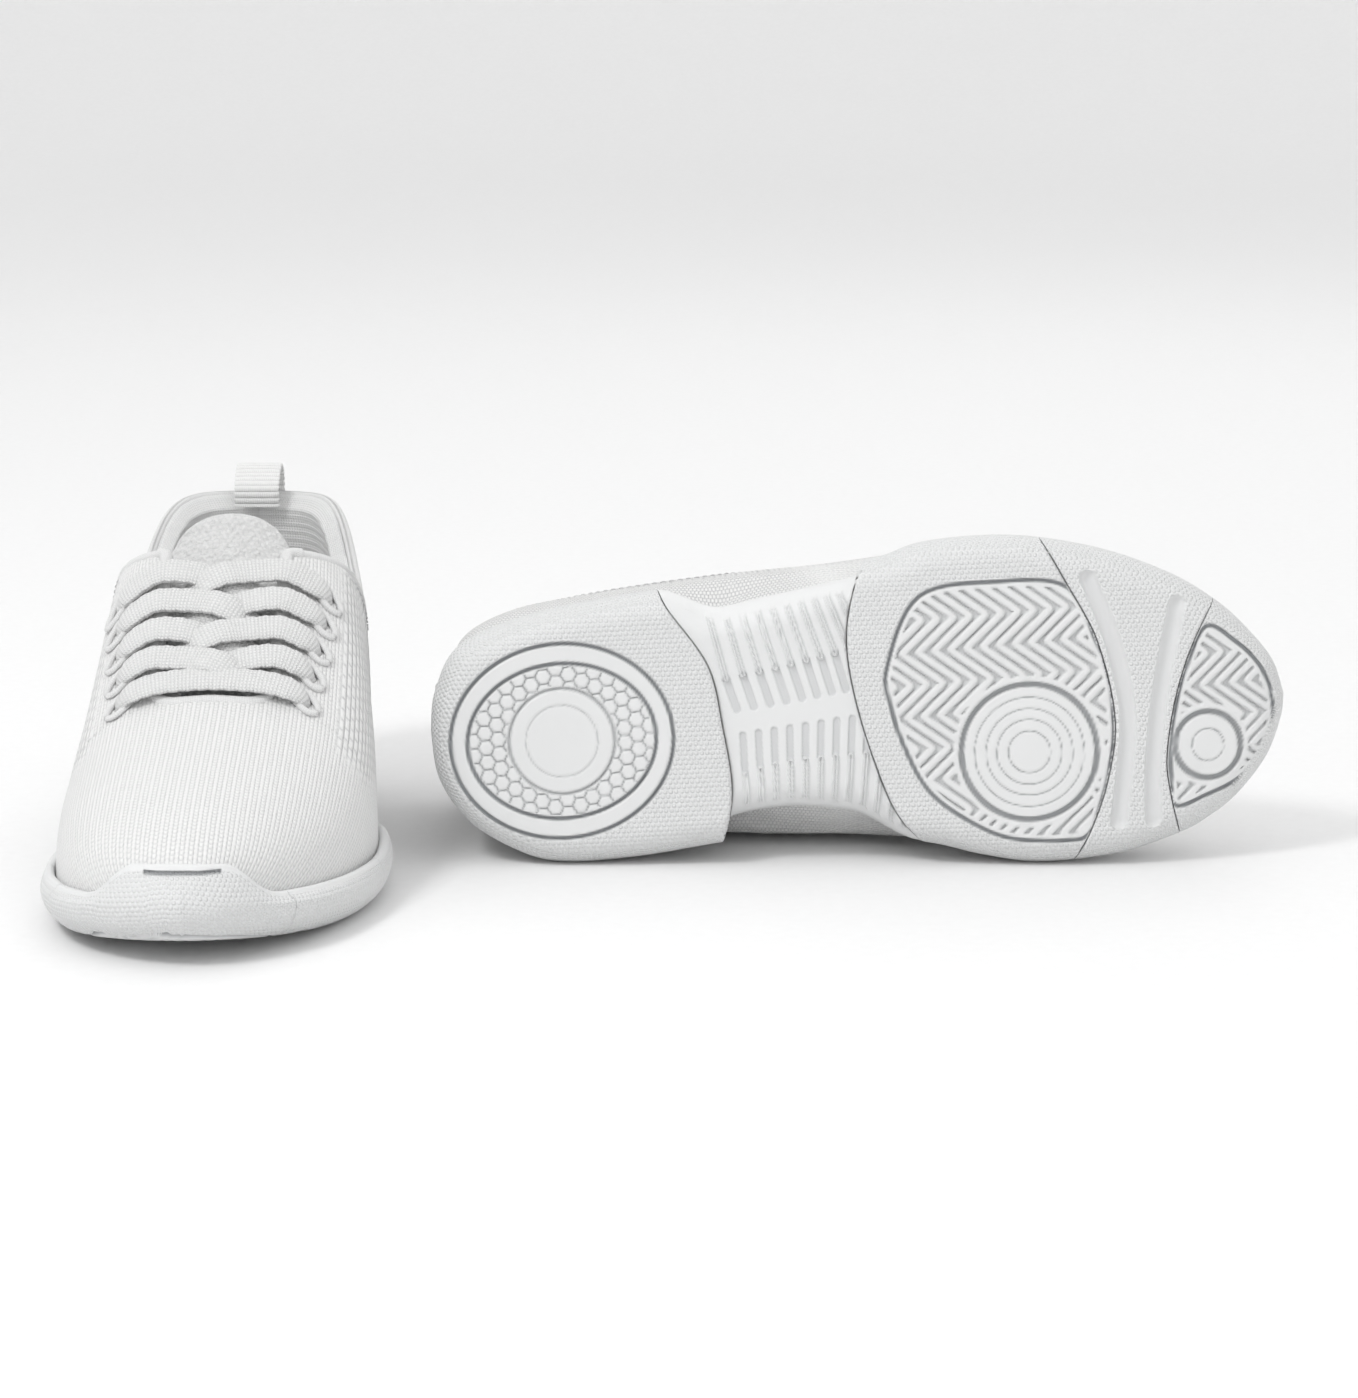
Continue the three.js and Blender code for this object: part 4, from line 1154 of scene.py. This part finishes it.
def make_upper():
    shape = Shape("rear", "coarse", "around", "up", "pit")
    for side in (1, -1):
        p, across, stations, around = upper_half_grid(side, 262, 84)
        n = outward_normals(p, np.array([LENGTH / 2, 0, 20]))
        u, v, w = p[..., 0], p[..., 1], p[..., 2]
        rear = fall(u + (w - 40) * 0.25, 92, 112)
        arch = 17 * np.minimum(around[:, None] / 50, 1.25) ** 2
        coarse_rear = smooth(w + arch, 61.2, 62.4)
        coarse_side = smooth(np.abs(across), 33, 36) * smooth(u, 60, 100)
        coarse_side = coarse_side * fall(u + np.abs(v) * 0.4, 166, 176) * smooth(w, 26, 31)
        coarse = mix(coarse_side, coarse_rear, rear)
        # pit dents the knit round each eyelet and, in the knit material, darkens it there as painted shade.
        pit = np.zeros_like(u)
        for row in range(EYELET_ROWS):
            hole = on_face(eyelet_u(row), side * eyelet_v(row), 0)
            near = np.linalg.norm(p - hole, axis=2)
            pit = np.maximum(pit, fall(near, 1.7, 2.6))
        basket = np.sin(around[:, None] * 2 * PI / 3.0) * np.sin((w + arch) * 2 * PI / 4.2)
        outer = p + n * (0.16 * coarse * basket * rear - 3.0 * pit)[..., None]
        uv = np.stack([across + 100, u], 2)
        given = {"rear": rear, "coarse": coarse, "around": np.broadcast_to(around[:, None], u.shape) + 200,
                 "up": w + arch + 50, "pit": pit}
        shape.grid(outer, uv, **given)
        inner = p - n * KNIT_INNER
        shape.grid(inner, uv, **given)
        # The two layers meet along the foot and along the upper edge, in a rolled edge.
        shape.grid(np.stack([outer[:, 0], inner[:, 0]]), np.stack([uv[:, 0], uv[:, 0]]))
        last = np.nonzero(stations < SLOT_FRONT + 0.5)[0][-1] + 1
        shape.grid(np.stack([outer[:last, -1], inner[:last, -1]]), np.stack([uv[:last, -1]] * 2))
    add(shape, "upper", "knit", sharp=75,
        replaces=["upper_quarters", "upper_flex_panel", "upper_toe_box"],
        blend=("shoe", "toe", (168, 0, 8), (208, 0, 8)))


# ------------------------------------------------------------------ swept pieces


def frames_along(path, normal, closed=False):
    """Unit width and outward directions at each point of a path."""
    if closed:
        tangent = np.gradient(np.vstack([path[-2:], path, path[:2]]), axis=0)[2:-2]
    else:
        tangent = np.gradient(path, axis=0)
    tangent = unit(tangent)
    wide = unit(np.cross(tangent, normal))
    return wide, np.cross(wide, tangent)


def ring_angles(sides):
    return np.linspace(0, 2 * PI, sides, endpoint=False)


def sweep(shape, path, normal, width, thick, sides=14, power=2.0, closed=False, twist=0.0):
    """A soft band or cord with an oval section along a path; width and thick are half-sizes."""
    count = len(path)
    wide, out = frames_along(path, normal, closed)
    angle = ring_angles(sides)
    c, s = signed_power(np.cos(angle), 2 / power), signed_power(np.sin(angle), 2 / power)
    width = np.broadcast_to(width, (count,))[:, None]
    thick = np.broadcast_to(thick, (count,))[:, None]
    p = path[:, None] + wide[:, None] * (c * width)[..., None] + out[:, None] * (s * thick)[..., None]
    run = lengths(path)
    size = lengths(np.column_stack([c * width.mean(), s * thick.mean()]))
    uv = pairs(size[None] + run[:, None] * twist + 20, run[:, None] + 20)
    if closed:
        last = run[-1] + np.linalg.norm(path[0] - path[-1])
        uv = np.concatenate([uv, pairs(uv[0, :, 0], last + 20)[None]])
        shape.grid(np.concatenate([p, p[:1]]), uv, round_columns=True)
    else:
        shape.tube(p, uv)


def face_curve(knots, count):
    """Smooth path through (u, v, height above the face) knots, with the face's normals."""
    path = spline(knots, 400)
    points = on_face(*path.T)
    s = lengths(points)
    at = np.linspace(0, s[-1], count)
    u, v = np.interp(at, s, path[:, 0]), np.interp(at, s, path[:, 1])
    p = points_at(at, s, points)
    return p, face_normal(u, v), at


def stitch_row(shape, path, normal, pitch, length, radius):
    """A row of short lockstitches lying along a path."""
    s = lengths(path)
    bow = np.sin(np.linspace(0, PI, 6)) ** 0.5
    size = radius * (0.35 + 0.65 * bow)
    for k in range(int(s[-1] / pitch)):
        at = (k + 0.5) * pitch + np.linspace(-length / 2, length / 2, 6)
        p = points_at(at, s, path)
        n = points_at(at, s, normal)
        sweep(shape, p + n * (0.26 * bow - 0.14)[:, None], n, size, size, sides=6)


def collar_path(drop, inset, front):
    """Below the collar edge from one lacing corner, round the heel, to the other."""
    halves = []
    for side in (1, -1):
        u = mix(UPPER_START, front, eased(500))
        slope = (topline(u + 1) - topline(u - 1)) / 2
        w = topline(u) - drop * np.hypot(1, slope)
        halves.append(section(side, u, w, inset))
    return resample(np.vstack([halves[0][::-1], halves[1][1:]]), 420)


def horizontal_normals(path):
    """Level unit normals of a path round the collar, facing out of the shoe."""
    tangent = np.gradient(path, axis=0)
    n = unit(np.stack([-tangent[:, 1], tangent[:, 0], np.zeros(len(path))], 1))
    away = (n * (path - np.array([50.0, 0, 0]))).sum(1, keepdims=True) < 0
    return np.where(away, -n, n)


def opening_loop():
    """The knit's cut edge: from the heel along the lateral side, round the slot's front, and back."""
    sides = []
    for side in (1, -1):
        u = mix(UPPER_START, SLOT_FRONT, eased(900))
        base = foam_top(u) + GAP
        angle = edge_angle(side, u, EDGE_INSET, PIPING_RADIUS)
        w = base + (crest(u) - EDGE_INSET - base) * np.sin(angle) ** (2 / squareness(u))
        sides.append(section(side, u, w, EDGE_INSET))
    loop = resample(np.vstack([sides[0], sides[1][::-1]]), 1200)
    reach = 9
    around = np.vstack([loop[-reach - 1:-1], loop, loop[1:reach + 1]])
    kernel = np.hanning(2 * reach + 3)[1:-1]
    kernel /= kernel.sum()
    return np.stack([np.convolve(around[:, k], kernel, mode="valid") for k in range(3)], 1)


def make_edges():
    """Rolled cord edge: round the collar, and round the lacing slot."""
    loop = opening_loop()
    in_slot = np.nonzero(loop[:, 0] > COLLAR_FRONT)[0]
    first, last = in_slot[0], in_slot[-1]
    collar = resample(np.vstack([loop[last:], loop[1:first + 1]]), 420)
    shape = Shape("deep")
    sweep(shape, collar, horizontal_normals(collar), 1.5, 1.55, sides=16, twist=0.8)
    add(shape, "collar_piping", "cord", replaces=["collar_piping"])
    slot = resample(loop[first - 1:last + 2], 280)
    shape = Shape("deep")
    sweep(shape, slot, face_normal(slot[:, 0], slot[:, 1]), 1.9, 1.9, sides=16, twist=0.3)
    add(shape, "throat_binding", "cord", replaces=["throat_binding"])


def make_collar_stitches():
    seam = collar_path(4.4, -0.25, 96.0)
    shape = Shape("deep")
    stitch_row(shape, seam, horizontal_normals(seam), pitch=2.4, length=1.7, radius=0.22)
    add(shape, "collar_stitches", "thread")


def lining_rib(u, w, power):
    """Height, 0 to 1, of the lining's level ribs, which climb a little toward the front."""
    return np.abs(np.sin(PI * (w + 0.12 * (u - 4)) / LINING_RIB)) ** power


def make_lining():
    """Padded lining of the heel and collar, knitted in level ribs, fuller toward its rolled top."""
    columns, rows = 150, 120
    front, inset = 93.0, 2.3
    halves = {"outer": [], "inner": []}
    for side in (1, -1):
        u = plan_stations(side, columns, front)[0][:, None]
        t = np.linspace(0, 1, rows)[None]
        w = mix(np.interp(u, [0, 70, front], [24, 24, 40]), topline(u) - 0.7, t)
        station = np.broadcast_to(u, w.shape)
        outer = section(side, station, w, inset)
        swell = 3.2 + 1.9 * smooth(t, 0.35, 0.8) * fall(t, 0.93, 1.0) + 0.34 * lining_rib(u, w, 0.8)
        fade = np.minimum(1, (1 - t) / 0.06) ** 0.5 * np.minimum(1, (t + 0.02) / 0.05)
        direction = unit(section(side, station, w, inset + 6) - outer)
        halves["outer"].append(outer)
        halves["inner"].append(outer + direction * (swell * fade)[..., None])
    outer, inner = (np.concatenate([a[::-1], b[1:]]) for a, b in halves.values())
    ring = np.concatenate([outer, inner[:, ::-1]], 1)
    run = lengths(ring[:, rows // 2])
    climb = lengths(ring[columns])
    uv = pairs(run[:, None] + 10, climb[None] + 10)
    # deep is painted shade between the ribs of the lining's inner face.
    deep = np.zeros(ring.shape[:2])
    deep[:, rows:] = 0.45 * (1 - lining_rib(ring[:, rows:, 0], ring[:, rows:, 2], 0.6))
    shape = Shape("deep")
    shape.tube(ring, uv, deep=deep)
    add(shape, "collar_lining", "ribbed", replaces=["collar_lining"], sharp=80)


def make_eyelets():
    """Five cord loops a side, round at the slot and drawn to a point away from it."""
    turn = ring_angles(56)
    toward = turn + math.radians(38)
    r = 2.5 + 1.9 * np.maximum(0, np.cos(turn)) ** 2.5
    for side, name in ((1, "eyestay_lateral"), (-1, "eyestay_medial")):
        shape = Shape("deep")
        for row in range(EYELET_ROWS):
            u = eyelet_u(row) + r * np.sin(toward)
            v = side * (eyelet_v(row) + r * np.cos(toward) * 0.95)
            sweep(shape, on_face(u, v, 0.55), face_normal(u, v), 0.92, 0.85, sides=12, closed=True, twist=0.6)
        add(shape, name, "cord", replaces=[name])


# ------------------------------------------------------------------ tongue


def make_tongue():
    """Padded tongue: open mesh under the laces, looped knit on its domed free end."""
    rows, columns = 180, 90
    tip_u, root_u, dome_u = 85.2, 159.0, 95.0
    station = mix(root_u, tip_u, np.linspace(0, 1, rows) ** 0.92)[:, None]
    x = np.linspace(-1, 1, columns)[None]
    past = (dome_u - station) / (dome_u - tip_u + 0.01) * (station < dome_u)
    u = np.broadcast_to(station, (rows, columns))
    v = np.maximum(TONGUE_HALF * np.sqrt(np.clip(1 - past ** 2, 0, 1)), 0.4) * x
    rim = (1 - np.abs(x) ** 6) ** 0.5 * np.clip((u - tip_u) / 3.2, 0, 1) ** 0.5
    free = fall(u, 100, 116)
    roll = free * 0.9 * (smooth(np.abs(x), 0.6, 0.86) + fall(u, 87, 92))
    pad = TONGUE_THICK * 0.5
    middle = TONGUE_DEPTH + pad
    lumps = 0.25 * free * np.sin(u * 2.1 + 1.3 * np.sin(v * 0.9)) * np.sin(v * 1.9 + np.sin(u * 0.7))
    swell = 0.5 * (1 - x ** 2) * free
    front = on_face(u, v, (pad + roll + lumps + swell) * rim, middle)
    behind = on_face(u, v, -(pad + roll * 0.5) * rim, middle)
    uv = np.stack([v + 40, u], 2)
    shape = Shape("mesh", "deep")
    shape.grid(front, uv, mesh=smooth(u, 108, 113) * fall(np.abs(v), 14.5, 15.5))
    shape.grid(behind, uv)
    layers = np.stack([front, behind])
    for edge in (layers[:, 0], layers[:, -1], layers[:, :, 0], layers[:, :, -1]):
        shape.grid(edge)
    add(shape, "tongue", "boucle", replaces=["tongue", "tongue_tip"], sharp=80,
        blend=("shoe", "tongue_end", (107, 0, 75.5), (97.5, 0, 75.5)))


# ------------------------------------------------------------------ laces
LACE_HALF_WIDTH = 4.1
LACE_HALF_THICK = 1.15


def lace_strand(shape, knots, gathered=(True, True)):
    """A run of flat lace; a gathered end narrows into its eyelet."""
    path, normal, at = face_curve(knots, 110)
    width = np.full(len(at), LACE_HALF_WIDTH)
    thick = np.full(len(at), LACE_HALF_THICK)
    for s, gather in zip((at, at[-1] - at), gathered):
        t = smooth(s, 1.5, 9.5) if gather else smooth(s, -2, 3)
        width = width * mix(0.42 if gather else 0.8, 1, t)
        thick = thick * mix(1.25 if gather else 1.0, 1, t)
    wave = 1 + 0.03 * np.sin(at * 1.7) + 0.02 * np.sin(at * 4.1 + 1)
    sweep(shape, path, normal, width * wave, thick, sides=22, power=2.5)


def make_lace():
    shape = Shape("deep")
    e0 = eyelet_v(0)
    half_bar = [(145.9, 6, 2.2), (146.0, 15, 2.7), (146.2, 20.2, 2.3), (146.8, e0, 0.6),
                (147.4, e0 + 0.9, -2.6)]
    lace_strand(shape, [(u, -v, above) for u, v, above in half_bar[::-1]] + half_bar)
    for row in range(EYELET_ROWS - 1):
        for side in (1, -1):
            over = (row % 2 == 0) == (side > 0)
            u, next_u, v = eyelet_u(row), eyelet_u(row + 1), eyelet_v(row + 1)
            before, crossing_height, after = (1.7, 3.0, 2.4) if over else (-0.3, 0.4, 1.2)
            knots = [(u - 1.6, 14.6, -4.3), (u - 2.0, 12.4, -3.6), (u - 2.8, 9.0, -1.6),
                     (u - 3.7, 4.6, before), (u - 5.2, 0, crossing_height), (u - 6.6, -5.0, after),
                     (next_u + 1.0, -10.5, 2.6),
                     (next_u + 0.2, -15.6, 3.3), (next_u + 0.2, -19.6, 2.8), (next_u + 0.6, 1.6 - v, 1.5),
                     (next_u + 1.2, -v - 0.5, -0.6), (next_u + 1.6, -v - 1.1, -2.8)]
            lace_strand(shape, [(a, side * b, above) for a, b, above in knots], gathered=(False, True))
    add(shape, "lace", "lace", replaces=["lace"])


# ------------------------------------------------------------------ heel webbing and sockliner


def heel_face(w):
    return UPPER_START + heel_profile(w)


def webbing(shape, knots, count):
    """Grosgrain ribbon along a line of the shoe's middle plane, with cross ribs."""
    line = spline(knots, 500)
    path = resample(np.column_stack([line[:, 0], np.zeros(500), line[:, 1]]), count)
    across = np.tile([0.0, 1.0, 0.0], (count, 1))
    out = frames_along(path, across)[0]
    at = lengths(path)
    angle = ring_angles(36)
    c, s = signed_power(np.cos(angle), 0.25), signed_power(np.sin(angle), 0.6)
    half = WEBBING_WIDTH / 2 + 0.1 * np.sin(2 * PI * at / RIB_PITCH)
    thick = WEBBING_THICK / 2 - 0.12 + 0.16 * np.abs(np.sin(PI * at / RIB_PITCH)) ** 0.6
    wide = c[None] * half[:, None]
    deep = s[None] * thick[:, None]
    p = path[:, None] + across[:, None] * wide[..., None] + out[:, None] * deep[..., None]
    shape.tube(p, pairs(wide + 30, at[:, None] + 17))


def make_webbing():
    off = GAP + WEBBING_THICK / 2 + 0.1
    strip = Shape()
    webbing(strip, [(heel_face(w) - off, w) for w in (29.5, 42, 52, 62, 70.6)], 160)
    add(strip, "heel_strip", "grosgrain", replaces=["heel_strip"])

    seams = Shape()
    surface = off + WEBBING_THICK / 2 + 0.12
    w = np.linspace(31.5, 70, 120)
    for v in (-5.2, 5.2):
        path = np.stack([heel_face(w) - surface, np.full(120, v), w], 1)
        stitch_row(seams, path, np.tile([-1.0, 0, 0], (120, 1)), 2.7, 2.0, 0.24)
    v = np.linspace(-5.2, 5.2, 40)
    for w in (69.2, 31.4):
        path = np.stack([np.full(40, heel_face(w) - surface), v, np.full(40, w)], 1)
        stitch_row(seams, path, np.tile([-1.0, 0, 0], (40, 1)), 2.6, 1.9, 0.24)
    add(seams, "heel_strip_stitches", "thread")

    loop = Shape()
    inside = heel_face(COLLAR_TOP) + KNIT + COUNTER + LINING + 2 * GAP + off + 1.1
    top = 92.2 - WEBBING_THICK / 2
    knots = [(heel_face(72) - off, 71.2), (-0.1, 76), (-1.9, 82), (-1.3, 88), (3, top - 0.6), (7.5, top),
             (11.4, top - 1.2), (inside, 86.5), (inside, 81)]
    webbing(loop, knots, 230)
    add(loop, "pull_loop", "grosgrain", replaces=["pull_loop"])


def make_sockliner():
    """Sockliner with a cupped heel and a soft rolled rim."""
    count = 220
    inset = UPPER_START + KNIT + COUNTER + 3 * GAP
    levels = [(2.5, 0.0), (0.0, 0.3), (-0.1, 1.4), (0.1, 2.6), (0.7, 3.3), (1.8, 3.45), (4, 3.2), (8, 3.0),
              (13, 3.0), (18, 3.0), (22, 3.0)]      # inset from the edge, and height above the board
    rings = []
    for grow, rise in levels:
        k = inset + grow
        lateral, medial = (resample(ring_path(sole_half, side, k, k, LENGTH - k, 500), count // 2 + 1)
                           for side in (1, -1))
        ring = np.vstack([lateral, medial[::-1][1:-1]])
        u = ring[:, 0]
        cup = 2.6 * fall(u, 10, 70) * math.exp(-max(grow, 0) / 4) * (rise > 0.5)
        rings.append(np.column_stack([ring, foam_top(u) + GAP + BOARD + GAP + rise + cup]))
    p = np.array(rings)
    shape = Shape("deep")
    shape.grid(p, p[..., :2], round_columns=True)
    shape.polygon(p[0])
    top, half = p[-1], count // 2
    ladder = np.stack([top[:half + 1], np.vstack([top[:1], top[half:][::-1]])])
    shape.grid(ladder, ladder[..., :2])
    add(shape, "sockliner", "ribbed", replaces=["sockliner", "sockliner_toe"],
        sharp=80, blend=TOE_BEND)


make_upper()
make_edges()
make_collar_stitches()
make_lining()
make_eyelets()
make_tongue()
make_lace()
make_webbing()
make_sockliner()

# ------------------------------------------------------------------ hidden CAD pieces keep their shape
for part_name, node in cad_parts.items():
    for word, look_name in (("midsole", "foam"), ("lasting", "board"), ("heel_counter", "board")):
        if word in part_name:
            for slot in node.material_slots:
                slot.material = MATERIALS[look_name]

# ------------------------------------------------------------------ stage and light


def make_stage():
    """Pale round floor that curves up into a wall all round."""
    steps = 60
    slope = [(0.01, 0), (1, 0), (1.9, 0), (2.3, 0.05), (2.6, 0.25), (2.8, 0.7), (2.85, 1.3), (2.85, 2.6)]
    profile = resample(spline(slope, 300), steps)
    points = np.array([[(r * math.cos(a), r * math.sin(a), z) for r, z in profile] for a in ring_angles(96)])
    index = np.arange(points.size // 3).reshape(-1, steps)
    index = np.vstack([index, index[:1]])
    quads = np.stack([index[:-1, :-1], index[1:, :-1], index[1:, 1:], index[:-1, 1:]], -1)
    faces = quads.reshape(-1, 4).tolist() + [index[-2::-1, 0].tolist()]
    sheet = bpy.data.meshes.new("floor")
    sheet.from_pydata(points.reshape(-1, 3).tolist(), [], faces)
    sheet.polygons.foreach_set("use_smooth", np.ones(len(faces), bool))
    floor = bpy.data.objects.new("floor", sheet)
    scene.collection.objects.link(floor)
    paper = Look("paper", 0.75, specular=0.2)
    paper.colour((0.86, 0.86, 0.86), (0.9, 0.9, 0.9), paper.noise(300, 2))
    sheet.materials.append(MATERIALS["paper"])


def make_lights():
    """A small bright disc, two wide dim ones, and an even white sky."""
    aim = (low + high) / 2
    for name, spot, size, energy in (("key", (-0.75, -0.75, 1.25), 0.4, 8),
                                     ("fill", (0.3, -1.7, 0.6), 0.8, 2),
                                     ("rim", (0.4, 1.1, 1.0), 0.9, 1.5)):
        light = bpy.data.lights.new(name, "AREA")
        light.shape = "DISK"
        light.size = size
        light.energy = energy
        lamp = bpy.data.objects.new(name, light)
        scene.collection.objects.link(lamp)
        lamp.location = spot
        lamp.rotation_mode = "QUATERNION"
        lamp.rotation_quaternion = (aim - Vector(spot)).to_track_quat("-Z", "Y")
    world = bpy.data.worlds.new("studio")
    scene.world = world
    world.use_nodes = True
    background = world.node_tree.nodes["Background"]
    background.inputs["Color"].default_value = (1, 1, 1, 1)
    background.inputs["Strength"].default_value = 1.0


make_stage()
make_lights()
scene.view_settings.view_transform = "Standard"
scene.view_settings.look = "None"
